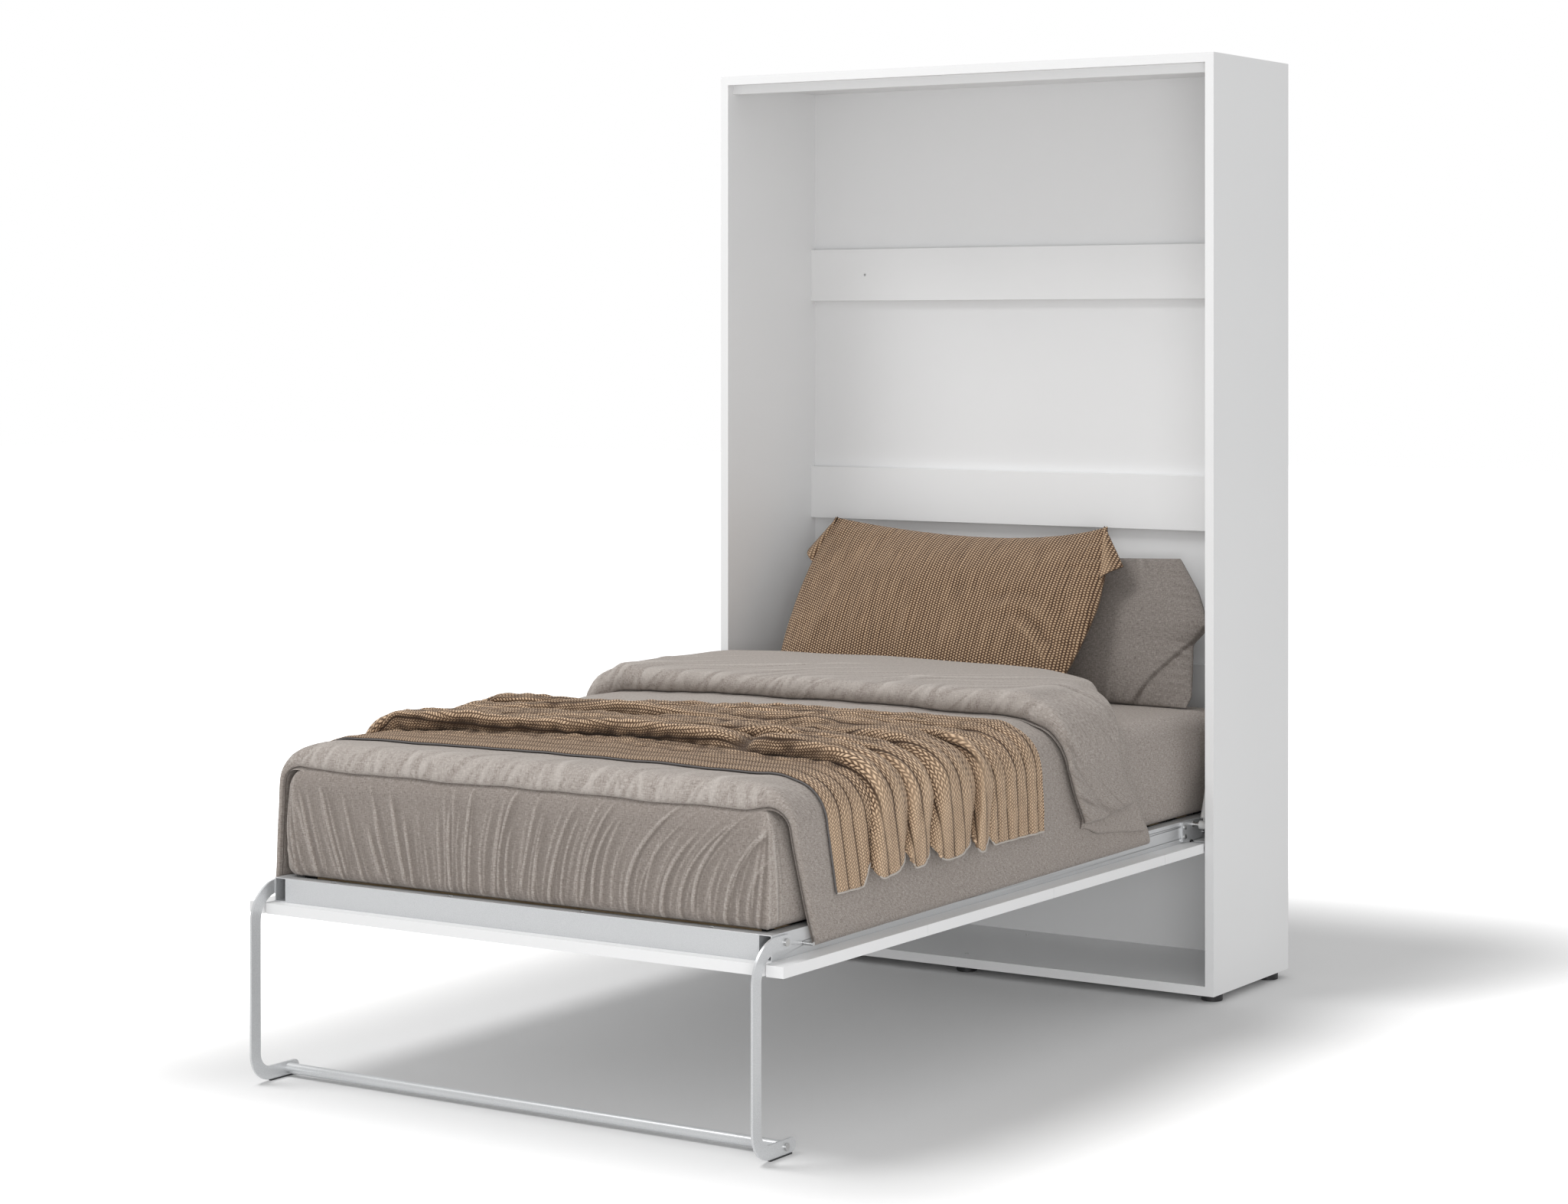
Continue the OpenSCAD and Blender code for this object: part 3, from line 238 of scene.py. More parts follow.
def new_mesh(name, points, faces, uvs=None, weld=0.0, painted_light=None):
    """An object from arrays of points and faces, with smooth faces and a UV map in metres. Its last
    argument
    holds painted light: -1 for painted shade in the hollows to 1 for painted highlights on the crests of
    its folds."""
    mesh = bpy.data.meshes.new(name)
    mesh.from_pydata(np.asarray(points, float).tolist(), [], np.asarray(faces).tolist())
    if uvs is not None:
        corners = read(mesh.loops, "vertex_index", kind=np.int32)
        layer = mesh.uv_layers.new(name="cloth")
        layer.data.foreach_set("uv", np.asarray(uvs, np.float32)[corners].ravel())
    if painted_light is not None:
        crest = mesh.attributes.new("crest", "FLOAT", "POINT")
        crest.data.foreach_set("value", np.ravel(painted_light).astype(np.float32))
    mesh.polygons.foreach_set("use_smooth", [True] * len(mesh.polygons))
    piece = put(name, mesh)
    if weld:
        apply(piece, "WELD", merge_threshold=weld)
    return piece


def apply(piece, kind, **settings):
    """Adds a modifier with these settings and applies it."""
    modifier = piece.modifiers.new(kind.lower(), kind)
    for name, value in settings.items():
        setattr(modifier, name, value)
    bpy.context.view_layer.objects.active = piece
    with bpy.context.temp_override(object=piece, active_object=piece):
        bpy.ops.object.modifier_apply(modifier=modifier.name)


# Materials: values of nodes with arithmetic, and the net that holds them

class Value:
    """One output of a material's nodes. Arithmetic on it adds a node."""

    def __init__(self, net, socket):
        self.net = net
        self.socket = socket

    def __add__(self, other):
        return self.net.math("ADD", self, other)

    def __radd__(self, other):
        return self.net.math("ADD", other, self)

    def __sub__(self, other):
        return self.net.math("SUBTRACT", self, other)

    def __rsub__(self, other):
        return self.net.math("SUBTRACT", other, self)

    def __mul__(self, other):
        return self.net.math("MULTIPLY", self, other)

    def __rmul__(self, other):
        return self.net.math("MULTIPLY", other, self)

    def __truediv__(self, other):
        return self.net.math("DIVIDE", self, other)

    def __pow__(self, other):
        return self.net.math("POWER", self, other)

    def sine(self):
        return self.net.math("SINE", self)

    def size(self):
        return self.net.math("ABSOLUTE", self)

    def fit(self, low, high, to_low=0.0, to_high=1.0):
        """This value's range low to high, brought smoothly to another range."""
        return self.net.add("ShaderNodeMapRange", {"interpolation_type": "SMOOTHSTEP"},
                            self, low, high, to_low, to_high)


class Net:
    """The nodes of one material, or of the room."""

    def __init__(self, name, kind="materials", output="ShaderNodeOutputMaterial"):
        self.owner = getattr(bpy.data, kind).new(name)
        self.owner.use_nodes = True
        self.tree = self.owner.node_tree
        self.tree.nodes.clear()
        self.output = self.tree.nodes.new(output)

    def add(self, kind, settings, *inputs, out=0, **named):
        """Adds a node, sets its settings, then its inputs by place or by name."""
        node = self.tree.nodes.new(kind)
        for name, value in settings.items():
            setattr(node, name, value)
        for key, value in list(enumerate(inputs)) + list(named.items()):
            socket = node.inputs[key.replace("_", " ") if isinstance(key, str) else key]
            if isinstance(value, Value):
                self.tree.links.new(value.socket, socket)
            else:
                socket.default_value = value
        return Value(self, node.outputs[out])

    def math(self, operation, *values):
        return self.add("ShaderNodeMath", {"operation": operation}, *values)

    def mix(self, factor, a, b):
        """A colour between a and b."""
        node = self.add("ShaderNodeMix", {"data_type": "RGBA"}, factor, out=2).socket.node
        for index, value in ((6, a), (7, b)):
            if isinstance(value, Value):
                self.tree.links.new(value.socket, node.inputs[index])
            else:
                node.inputs[index].default_value = (*value, 1)
        return Value(self, node.outputs[2])

    def place(self, kind="Object", scale=(1, 1, 1)):
        """The point's coordinates, stretched by scale."""
        where = self.add("ShaderNodeTexCoord", {}, out=("UV", "Object").index(kind) + 2)
        return self.add("ShaderNodeVectorMath", {"operation": "MULTIPLY"}, where, scale)

    def axes(self, where):
        """The three coordinates of a point."""
        node = self.add("ShaderNodeSeparateXYZ", {}, where).socket.node
        return [Value(self, socket) for socket in node.outputs]

    def painted_light(self):
        """The painted light over a cloth: -1 for painted shade in the hollows of its folds to 1 for
        painted highlights on their crests.
        """
        return self.add("ShaderNodeAttribute", {"attribute_name": "crest"}, out=2)

    def shade(self, color, hollow, crest, depth=0.6, lift=0.5):
        """A colour drawn to another as painted shade in the hollows of the folds and to a third as a
        painted highlight on their crests.
        """
        painted_light = self.painted_light()
        color = self.mix(painted_light.fit(-1.0, 0.0, depth, 0), color, hollow)
        return self.mix(painted_light.fit(0.0, 1.0, 0, lift), color, crest)

    def noise(self, where, scale, detail=2.0, rough=0.5):
        return self.add("ShaderNodeTexNoise", {}, where, Scale=scale, Detail=detail, Roughness=rough)

    def bump(self, height, distance, strength=1.0):
        return self.add("ShaderNodeBump", {}, Strength=strength, Distance=distance, Height=height)

    def surface(self, shader):
        """Ends the net with its shader, and gives the material or the room that it makes."""
        self.tree.links.new(shader.socket, self.output.inputs["Surface"])
        return self.owner

    def finish(self, color, roughness, **constants):
        """The surface: a colour, a roughness and what else its shader takes."""
        if not isinstance(color, Value):
            color = (*color, 1)
        shader = self.add("ShaderNodeBsdfPrincipled", {}, Base_Color=color, Roughness=roughness,
                          **constants)
        return self.surface(shader)

    def coat(self, color, grain, rough, relief, **constants):
        """A hard surface: rough holds the range of its roughness, and relief is its depth in
        millimetres. Both follow the grain."""
        normal = self.bump(grain, relief * MM)
        return self.finish(color, grain.fit(0.3, 0.7, *rough), Normal=normal, **constants)


def white_board():
    """Satin white melamine with a faint orange peel."""
    net = Net("white_board")
    color = net.mix(net.noise(net.place(), 3.0), (0.800, 0.803, 0.806), (0.830, 0.832, 0.834))
    peel = net.noise(net.place(), 700.0, 3.0)
    return net.coat(color, peel, (0.34, 0.44), 0.06, Specular_IOR_Level=0.42)


def back_board():
    """Thin white lacquered board, a little flatter in its shine."""
    net = Net("back_board")
    color = net.mix(net.noise(net.place(), 2.2), (0.775, 0.778, 0.782), (0.805, 0.808, 0.811))
    return net.coat(color, net.noise(net.place(scale=(1, 1, 0.4)), 500.0), (0.46, 0.56), 0.05)


def silver_paint():
    """Silver powder coat: fine flakes under a slightly rough skin."""
    net = Net("silver_paint")
    flake = net.noise(net.place(), 1600.0, 1.0).fit(0.35, 0.65)
    color = net.mix(flake, (0.56, 0.57, 0.58), (0.72, 0.73, 0.74))
    return net.coat(color, net.noise(net.place(), 420.0), (0.30, 0.40), 0.05, Metallic=0.55)


def spring_paint():
    """Pale grey paint of the gas springs."""
    net = Net("spring_paint")
    color = net.mix(net.noise(net.place(), 12.0), (0.60, 0.60, 0.60), (0.68, 0.68, 0.67))
    return net.coat(color, net.noise(net.place(), 300.0), (0.26, 0.36), 0.03)


def rod_steel():
    """Polished steel, turned, so that its fine rings run round the rod."""
    net = Net("rod_steel")
    rings = net.noise(net.place(scale=(1, 0.05, 1)), 900.0)
    color = net.mix(rings, (0.60, 0.60, 0.61), (0.66, 0.66, 0.67))
    return net.finish(color, rings.fit(0.3, 0.7, 0.08, 0.16), Metallic=1.0)


def zinc():
    """Zinc plating with its faint cloudy tint."""
    net = Net("zinc")
    cloud = net.noise(net.place(), 90.0, 3.0)
    color = net.mix(cloud, (0.50, 0.51, 0.53), (0.66, 0.65, 0.62))
    return net.finish(color, cloud.fit(0.3, 0.7, 0.24, 0.40), Metallic=1.0)


def black_plastic():
    """Moulded plastic of the feet, the pads, the bushes and the slats' holders."""
    net = Net("black_plastic")
    grain = net.noise(net.place(), 900.0)
    color = net.mix(grain, (0.012, 0.012, 0.013), (0.028, 0.028, 0.030))
    return net.coat(color, grain, (0.42, 0.58), 0.08)


def birch():
    """Birch ply and beech, with the grain along the piece."""
    net = Net("birch")
    where = net.place(scale=(0.06, 1, 1))
    grain = net.noise(where, 260.0, 5.0, 0.6)
    color = net.mix(grain.fit(0.3, 0.7), (0.50, 0.34, 0.19), (0.70, 0.53, 0.34))
    color = net.mix(net.noise(where, 28.0, 3.0) * 0.5, color, (0.62, 0.46, 0.28))
    return net.coat(color, grain, (0.36, 0.52), 0.08)


def ticking():
    """Knitted mattress ticking with small quilted diamonds."""
    net = Net("mattress_ticking")
    x, y, _ = net.axes(net.place("UV"))
    turn = 2 * math.pi / (55 * MM)
    diamonds = ((x + y) * turn).sine().size() * ((x - y) * turn).sine().size()
    knit = net.noise(net.place(), 900.0)
    color = net.mix(knit, (0.64, 0.63, 0.60), (0.76, 0.75, 0.72))
    height = diamonds ** 0.5 + knit * 0.2
    return net.finish(color, 0.9, Normal=net.bump(height, 1.5 * MM), Sheen_Weight=0.2)


def linen(name, painted_shade_factor=1.0):
    """Washed linen, warm grey: flecked yarns in both directions, with painted highlights on the crests of
    its creases and painted shade in their hollows. The second argument darkens it all as painted shade."""
    net = Net(name)
    # The second argument darkens every colour as painted shade
    hollow, dark, mid, pale, crest = (tuple(painted_shade_factor * part for part in color) for color in LINEN_COLORS)
    where = net.place("UV")
    x, y, _ = net.axes(where)
    warp = net.noise(net.place("UV", (1, 0.2, 1)), 520.0)
    weft = net.noise(net.place("UV", (0.2, 1, 1)), 480.0)
    fleck = net.noise(where, 260.0, 3.0, 0.65)
    cloud = net.noise(where, 12.0)
    yarns = warp * 0.34 + weft * 0.36 + fleck * 0.30
    color = net.mix(yarns.fit(0.38, 0.50), dark, mid)
    color = net.mix(yarns.fit(0.50, 0.62), color, pale)
    color = net.mix(cloud.fit(0.35, 0.7, 0, 0.15), color, mid)
    # Painted shade in the hollows of the folds and painted highlights on their crests
    color = net.shade(color, hollow, crest)
    turn = 2 * math.pi / (1.6 * MM)
    weave = (x * turn).sine() * (y * turn).sine()
    height = weave * 0.5 + fleck * 1.2 + warp * 0.6 + weft * 0.6
    return net.finish(color, 0.92, Normal=net.bump(height, 0.4 * MM, 0.8), Sheen_Weight=0.08,
                      Sheen_Roughness=0.6)


def knit_stitches(net, along, across):
    """Chain stitches in columns of two strands that slant towards each other. Gives how high the stitch
    stands, and 1 in the middle of its strand."""
    slant = net.math("PINGPONG", across, STRAND) * (4.2 / STRAND)
    uneven = net.noise(net.place("UV"), 70.0) * 5.0
    strand = net.math("FLOOR", across / STRAND)
    stitch = (along * (2 * math.pi / (7.0 * MM)) + slant + strand * math.pi + uneven).sine()
    return stitch * 0.5 + 0.5, (across * (math.pi / STRAND)).sine().size()


def brown_knit():
    """Chunky ribbed knit in caramel wool: four chains of stitches a rib, with painted shade in the grooves
    between ribs and in the hollows of its folds, and painted highlights on their crests.
    """
    net = Net("brown_knit")
    where = net.place("UV")
    along, across, _ = net.axes(where)
    stitch, middle = knit_stitches(net, along, across)
    groove = (across * (math.pi / RIB)).sine().size()
    fibre = net.noise(net.place("UV", (0.5, 1, 1)), 700.0, 3.0, 0.65)
    cloud = net.noise(where, 16.0, 3.0)
    dots = stitch * middle.fit(0.05, 0.85)
    light = dots * 0.62 + fibre * 0.38
    color = net.mix(light.fit(0.16, 0.42), KNIT_DARK, KNIT_MID)
    color = net.mix(light.fit(0.42, 0.74), color, KNIT_PALE)
    color = net.mix(cloud.fit(0.38, 0.7, 0, 0.2), color, KNIT_MID)
    # Painted shade in the grooves between the ribs
    color = net.mix(groove.fit(0.08, 0.32, 0.9, 0), color, KNIT_DARK)
    # Painted shade in the hollows of the folds and painted highlights on their crests
    color = net.shade(color, KNIT_DARK, KNIT_PALE, 0.90, 0.40)
    height = dots + fibre * 0.5
    return net.finish(color, 0.95, Normal=net.bump(height, 1.1 * MM, 0.8), Sheen_Weight=0.08,
                      Sheen_Roughness=0.5)


def brown_weave():
    """Coarse two-colour weave: pale and dark brown yarns that show as dots in upright columns."""
    net = Net("brown_weave")
    across, up, _ = net.axes(net.place("UV"))
    wobble = net.noise(net.place("UV", (1, 0.3, 1)), 30.0) * 1.2
    column = (across * (math.pi / (7.8 * MM)) + wobble).sine()
    row = (up * (math.pi / (6.8 * MM)) + net.math("SIGN", column) * (math.pi / 4)).sine()
    dots = column.size() * row.size()
    streak = net.noise(net.place("UV", (1, 0.07, 1)), 130.0, 3.0, 0.6)
    fibre = net.noise(net.place("UV"), 600.0)
    light = dots * 0.72 + streak * 0.44 + fibre * 0.10
    color = net.mix(light.fit(0.28, 0.52), WEAVE_DARK, WEAVE_MID)
    color = net.mix(light.fit(0.56, 0.92), color, WEAVE_PALE)
    # Painted shade in the hollows of the folds and painted highlights on their crests
    color = net.shade(color, WEAVE_DARK, WEAVE_PALE, 0.6, 0.3)
    height = dots + fibre * 0.3
    return net.finish(color, 0.95, Normal=net.bump(height, 1.4 * MM, 0.9), Sheen_Weight=0.1)


def yarn(name, dark, pale):
    """A plain binding yarn."""
    net = Net(name)
    twist = net.noise(net.place("UV", (1, 3, 1)), 700.0)
    color = net.mix(twist, dark, pale)
    return net.finish(color, 0.9, Normal=net.bump(twist, 0.4 * MM))


MATERIALS = {
    "white_board": white_board(), "back_board": back_board(), "silver_paint": silver_paint(),
    "spring_paint": spring_paint(), "rod_steel": rod_steel(), "zinc": zinc(),
    "black_plastic": black_plastic(), "birch": birch(), "mattress_ticking": ticking(),
    # The second linen is the same cloth, darkened as painted shade
    "linen_cloth": linen("linen_cloth"), "linen_painted_shade": linen("linen_painted_shade", 0.62),
    "brown_knit": brown_knit(), "brown_weave": brown_weave(),
    "hem_yarn": yarn("hem_yarn", (0.42, 0.38, 0.34), (0.58, 0.54, 0.50)),
    "edge_yarn": yarn("edge_yarn", (0.10, 0.095, 0.095), (0.17, 0.16, 0.16)),
}


def wear(piece, slot):
    """Gives a piece the finish of a material slot."""
    piece.data.materials.clear()
    piece.data.materials.append(MATERIALS[slot])


def finish_cad():
    """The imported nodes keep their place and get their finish. Boards and rails get a fine round edge,
    but for the thin back panel."""
    for row in RECORD["subparts"]:
        wear(NODES[row["node"]], row["material_slot"])
    for name, piece in NODES.items():
        board = "panel" in name or "rail" in name or name == "stop_strip"
        if not board or name == "back_panel":
            continue
        weld = piece.modifiers.new("weld", "WELD")
        weld.merge_threshold = 0.02 * MM
        bevel = piece.modifiers.new("round_edges", "BEVEL")
        bevel.width = ROUND_EDGE
        bevel.segments = 2
        bevel.limit_method = "ANGLE"
        bevel.angle_limit = math.radians(50)
        bevel.harden_normals = True


# Camera, light and floor

def camera():
    """The camera that sees the bed as the photo does: level, turned to the left, with its view shifted."""
    bpy.context.scene.view_settings.view_transform = "Standard"
    data = bpy.data.cameras.new("camera")
    data.lens = CAMERA_LENS
    data.sensor_width = CAMERA_SENSOR
    data.shift_y = CAMERA_SHIFT
    turn = (math.radians(90), 0, math.radians(CAMERA_TURN))
    bpy.context.scene.camera = put("camera", data, CAMERA_PLACE, turn)


def lamp(name, place, target, size, power):
    """A round lamp that looks at its target."""
    data = bpy.data.lights.new(name, "AREA")
    data.shape = "DISK"
    data.size = size
    data.energy = power
    look = Vector(target) - Vector(place)
    put(name, data, place, look.to_track_quat("-Z", "Y").to_euler())


def lights():
    """A wide soft key from the left above, a low fill beside the camera, and an even white room that
    the camera sees at full white."""
    lamp("key", place=(-2.6, -2.4, 6.9), target=(0, 0, 0.9), size=3.0, power=240)
    lamp("fill", place=(4.2, -5.7, 0.9), target=(0, 0.5, 0.4), size=3.0, power=135)
    net = Net("room", "worlds", "ShaderNodeOutputWorld")
    seen = net.add("ShaderNodeLightPath", {})
    lit, white = (net.add("ShaderNodeBackground", {}, Color=(1, 1, 1, 1), Strength=strength)
                  for strength in (ROOM_LIGHT, 1.0))
    bpy.context.scene.world = net.surface(net.add("ShaderNodeMixShader", {}, seen, lit, white))


def floor():
    """A floor that the camera sees as the white background, with the shadows on it near the bed."""
    net = Net("floor")
    path = net.add("ShaderNodeLightPath", {})
    x, y, _ = net.axes(net.place())
    beside, before = (net.math("MAXIMUM", (part - middle).size() - half, 0.0)
                      for part, (middle, half) in ((x, SHADE_ACROSS), (y, SHADE_ALONG)))
    away = net.math("SQRT", beside * beside + before * before)
    seen = net.mix(away.fit(0.0, SHADE_FADE), SHADE_GREY, OUTER_WHITE)
    paint = net.surface(net.add("ShaderNodeBsdfDiffuse", {}, net.mix(path, FLOOR_GREY, seen)))
    corners = [(x * FLOOR_HALF, y * FLOOR_HALF, 0) for x, y in ((-1, -1), (1, -1), (1, 1), (-1, 1))]
    ground = new_mesh("floor", corners, [(0, 1, 2, 3)])
    ground.data.materials.append(paint)


# The bed's own form: height of the made bed and the section of cloth laid over it

def crown(x, u, half=BED_HALF):
    """Rise of the mattress above its edge."""
    end = np.minimum(FOOT_U - u, u - HEAD_U)
    along = 1 - (1 - np.clip(end / BED_HALF, 0, 1)) ** 2
    return CROWN * along * np.clip(1 - (x / half) ** 2, 0, 1)


def foot_drop(u):
    """Fall of the made bed's surface over the round foot edge."""
    way = np.clip(u - (FOOT_U - FOOT_ROUND), 0, 0.9 * FOOT_ROUND)
    return FOOT_ROUND - np.sqrt(FOOT_ROUND ** 2 - way ** 2)


def hang(arc, lift, u):
    """Points of cloth laid over the bed: arc is the way from the middle line over the bare bed, and
    lift is the height over it. Returns x and z."""
    side = np.sign(arc)
    a = np.abs(arc)
    turn = np.clip((a - FLAT) / FALL_R, 0, math.pi / 2)
    drop = np.maximum(a - FLAT - BEND, 0)
    x = np.minimum(a, FLAT) + (FALL_R + lift) * np.sin(turn)
    z = SHEET_TOP + crown(np.minimum(a, FLAT), u, FLAT) - FALL_R + (FALL_R + lift) * np.cos(turn) - drop
    return side * x, z - foot_drop(u) * (1 - side_share(arc))


def arc_to(z):
    """Way from the middle line to a height on the hanging side."""
    return FLAT + BEND + SHEET_TOP - FALL_R - z


def side_share(arc):
    """0 on top of the bed, 1 on its hanging sides."""
    return smooth(FLAT - 40 * MM, FLAT + BEND, np.abs(arc))


def fall_share(arc, hem):
    """0 at the top edge, 1 at a hem of this height."""
    return np.clip((np.abs(arc) - FLAT - BEND * 0.4) / (arc_to(hem) - FLAT - BEND * 0.4), 0, 1)


def to_frame(x, u, z):
    """Points of these coordinates in the row frame."""
    x, u, z = np.broadcast_arrays(x, u, z)
    return np.stack([x, FRONT_Y - u, z], axis=-1).reshape(-1, 3)


def declare(piece, slot, *nodes, keep=None, finish=None):
    """Gives a soft piece its finish and the body that it rides on, and hides the nodes that it stands for.
    keep, meant as the share of its height left when the bed is closed, only makes the piece's mesh its
    own; finish is worn in place of the slot's material: a yarn of its own, or the slot's linen darkened as
    painted shade."""
    wear(piece, finish or slot)
    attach(piece, "bed")
    if nodes:
        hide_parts(*nodes)
    if keep:
        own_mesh(piece)


def box_uvs(piece):
    """A UV map in metres, laid on each face from the side that it looks to."""
    mesh = piece.data
    looks = np.argmax(np.abs(read(mesh.polygons, "normal", 3)), axis=1)
    look = np.repeat(looks, read(mesh.polygons, "loop_total", kind=np.int32))
    at = read(mesh.vertices, "co", 3)[read(mesh.loops, "vertex_index", kind=np.int32)]
    u = np.where(look == 0, at[:, 1], at[:, 0])
    v = np.where(look == 2, at[:, 1], at[:, 2])
    layer = mesh.uv_layers.new(name="cloth")
    layer.data.foreach_set("uv", np.stack([u, v], axis=1).astype(np.float32).ravel())


# Mattress and fitted sheet: rings round the bed, from the hem up and in to the middle

def rim(foot_step, side_step, corner_n):
    """Places round a rectangle with round corners: its corner signs and its outward direction."""
    rows = []
    width, length = 2 * BED_HALF, FOOT_U - HEAD_U
    runs = [((-1, 1), (1, 1), 90, width / foot_step), ((1, 1), (1, -1), 0, length / side_step),
            ((1, -1), (-1, -1), -90, width / side_step), ((-1, -1), (-1, 1), -180, length / side_step)]
    for (ax, au), (bx, bu), angle, count in runs:
        f = np.arange(int(count)) / int(count)
        rows.append(np.stack([blend(ax, bx, f), blend(au, bu, f), np.full(len(f), float(angle))], axis=1))
        turn = angle - 90 * np.arange(corner_n) / corner_n
        rows.append(np.stack([np.full(corner_n, float(bx)), np.full(corner_n, float(bu)), turn], axis=1))
    rows = np.concatenate(rows)
    angle = np.radians(rows[:, 2])
    return rows[:, 0], rows[:, 1], np.cos(angle), np.sin(angle)


def ring_mesh(name, places, profile, grow, corner_r, relief):
    """A skin round the bed. profile holds, from the hem to the middle, each ring's inset, height and
    the upward share of its outward direction. relief gives the height of the folds over it and the painted
    light and shade on them."""
    sx, su, nx, nu = places
    insets, heights, ups = (column[:, None] for column in np.array(profile).T)
    r = np.maximum(corner_r - insets, 1 * MM)
    half_x = BED_HALF + grow - insets - r
    half_u = (FOOT_U - HEAD_U) / 2 + grow - insets - r
    x = sx * half_x + r * nx
    u = (FOOT_U + HEAD_U) / 2 + su * half_u + r * nu
    z = heights + crown(x, u) * smooth(0.5, 1, ups) + 0 * x
    out, painted_light = relief(x, u, z, nx + 0 * x, nu + 0 * x, ups + 0 * x)
    flat = np.sqrt(1 - ups ** 2)
    x = x + out * nx * flat
    u = u + out * nu * flat
    z = z + out * ups
    rows, cols = x.shape
    i, j = np.meshgrid(np.arange(rows - 1), np.arange(cols), indexing="ij")
    k = (j + 1) % cols
    faces = np.stack([i * cols + j, (i + 1) * cols + j, (i + 1) * cols + k, i * cols + k], axis=-1)
    return new_mesh(name, to_frame(x, u, z), faces.reshape(-1, 4), weld=0.2 * MM, painted_light=painted_light)


def padded_profile(low, top, low_r, top_r, step, half, count_in, bulge=0.0):
    """Rings of a padded body: its side is tucked in below, a little full, and round at the top, and its
    level top takes count_in rings to the middle."""
    rows = []
    for turn in np.radians(np.linspace(-64, 0, 6))[:-1]:
        rows.append((low_r * (1 - math.cos(turn)), low + low_r * (1 + math.sin(turn)), math.sin(turn)))
    count = int((top - top_r - low - low_r) / step)
    for f in np.linspace(0, 1, count + 1)[:-1]:
        z = blend(low + low_r, top - top_r, f)
        rows.append((-bulge * math.sin(math.pi * f), z, 0.0))
    for turn in np.radians(np.linspace(0, 90, int(top_r * 1.57 / step) + 1)):
        rows.append((top_r * (1 - math.cos(turn)), top - top_r * (1 - math.sin(turn)), math.sin(turn)))
    return rows + [(inset, top, 1.0) for inset in np.linspace(top_r, half, count_in + 1)[1:]]


def mattress():
    """The mattress under its ticking, with a rounded tape along both edges."""
    low = BED_Z + TOUCH
    profile = [(480 * MM, low, 0.0), (60 * MM, low, 0.0)]
    profile += padded_profile(low, EDGE_TOP, 26 * MM, 52 * MM, 9 * MM, BED_HALF, 25)

    def tapes(x, u, z, nx, nu, up):
        bands = ridge(z - (EDGE_TOP - 12 * MM), 4 * MM) + ridge(z - (BED_Z + 24 * MM), 4 * MM)
        return (bands * 2 * MM - 2.5 * MM) * (1 - np.abs(up)) - 1 * MM, 0 * x

    piece = ring_mesh("mattress_body", rim(16 * MM, 16 * MM, 6), profile, 0, 40 * MM, tapes)
    box_uvs(piece)
    declare(piece, "mattress_ticking", "mattress")


# Places across the foot face and how far, in millimetres, a crease that starts there sweeps aside
SWEEP_PLACES = (-0.6, -0.3, -0.12, 0.15, 0.35, 0.6)
SWEEPS = (-85, -62, 20, 75, 135, 105)


def foot_creases(x, z):
    """Creases of the sheet's foot face. They rise from its lower edge and sweep to one side, the more
    so the further right; each is a fine crest with a broad hollow on its right. Gives their height, and
    the painted light along each crest and painted shade in its hollow."""
    low = BED_Z + 4 * MM
    f = np.clip((z - low) / (EDGE_TOP - 10 * MM - low), 0, 1.2)
    height = np.zeros(x.shape)
    painted_light = np.zeros(x.shape)
    rng = np.random.default_rng(31)
    bold = np.concatenate([spread(-0.59, -0.20, 0.036, 1), spread(-0.20, 0.20, 0.025, 2),
                           spread(0.20, 0.57, 0.055, 3)])
    faint = spread(-0.59, 0.56, 0.014, 4)
    for place, strong in [(p, 1.0) for p in bold] + [(p, 0.35) for p in faint]:
        sweep = np.interp(place, SWEEP_PLACES, SWEEPS) * MM
        path = place + sweep * rng.uniform(0.7, 1.25) * f ** blend(1.1, 2.2, smooth(-0.4, 0.1, place))
        path = path + 5 * MM * np.sin(math.pi * f) * rng.normal()
        first = rng.uniform(-0.25, 0.06)
        last = rng.uniform(0.55, 1.10)
        share = strong * rng.uniform(0.3, 1.2) * smooth(first, first + 0.12, f)
        share = share * (1 - smooth(last - 0.30, last, f))
        width = rng.uniform(1.7, 2.7) * MM
        hollow = rng.uniform(5, 11) * MM
        line = ridge(x - path, width)
        band = ridge(x - path - width - 0.85 * hollow, hollow)
        height += share * (3.0 * line - 1.7 * band) * MM
        # Painted highlight along the crest line and painted shade in the broad hollow beside it
        painted_light += share * (2.0 * line - 0.6 * band)
    return height, np.clip(painted_light, -1, 1)


# Direction of the corner's seam in degrees, and each pleat's spread from it and height in millimetres
SEAM_TURN = 46
PLEATS = ((-44, 2.0), (-24, 2.6), (20, 2.4), (38, 1.8))


def corner_pleats(nx, nu, z):
    """The sewn seam at a corner of the sheet, with small pleats that spread from its top end. Gives
    their height, and painted highlights on the seam and the pleats with painted shade beside them.
    """
    turn = np.degrees(np.arctan2(np.abs(nx), np.abs(nu)))
    f = np.clip((z - BED_Z) / (EDGE_TOP - BED_Z), 0, 1)
    rise = smooth(BED_Z - 10 * MM, BED_Z + 25 * MM, z) * (1 - smooth(0.72, 0.95, f))
    seam = 3.0 * ridge(turn - SEAM_TURN, 2.4)
    pleats = np.zeros(z.shape)
    for away, high in PLEATS:
        middle = SEAM_TURN + away * (1.15 - f)
        pleats += high * ridge(turn - middle, 4.0) - 0.7 * high * ridge(turn - middle - 7, 6.0)
    height = (pleats * rise + seam * np.sqrt(rise)) * MM
    # Painted highlights on the seam and the pleats, painted shade beside each pleat
    return height, np.clip(0.35 * pleats * rise + 0.30 * seam, -1, 1)


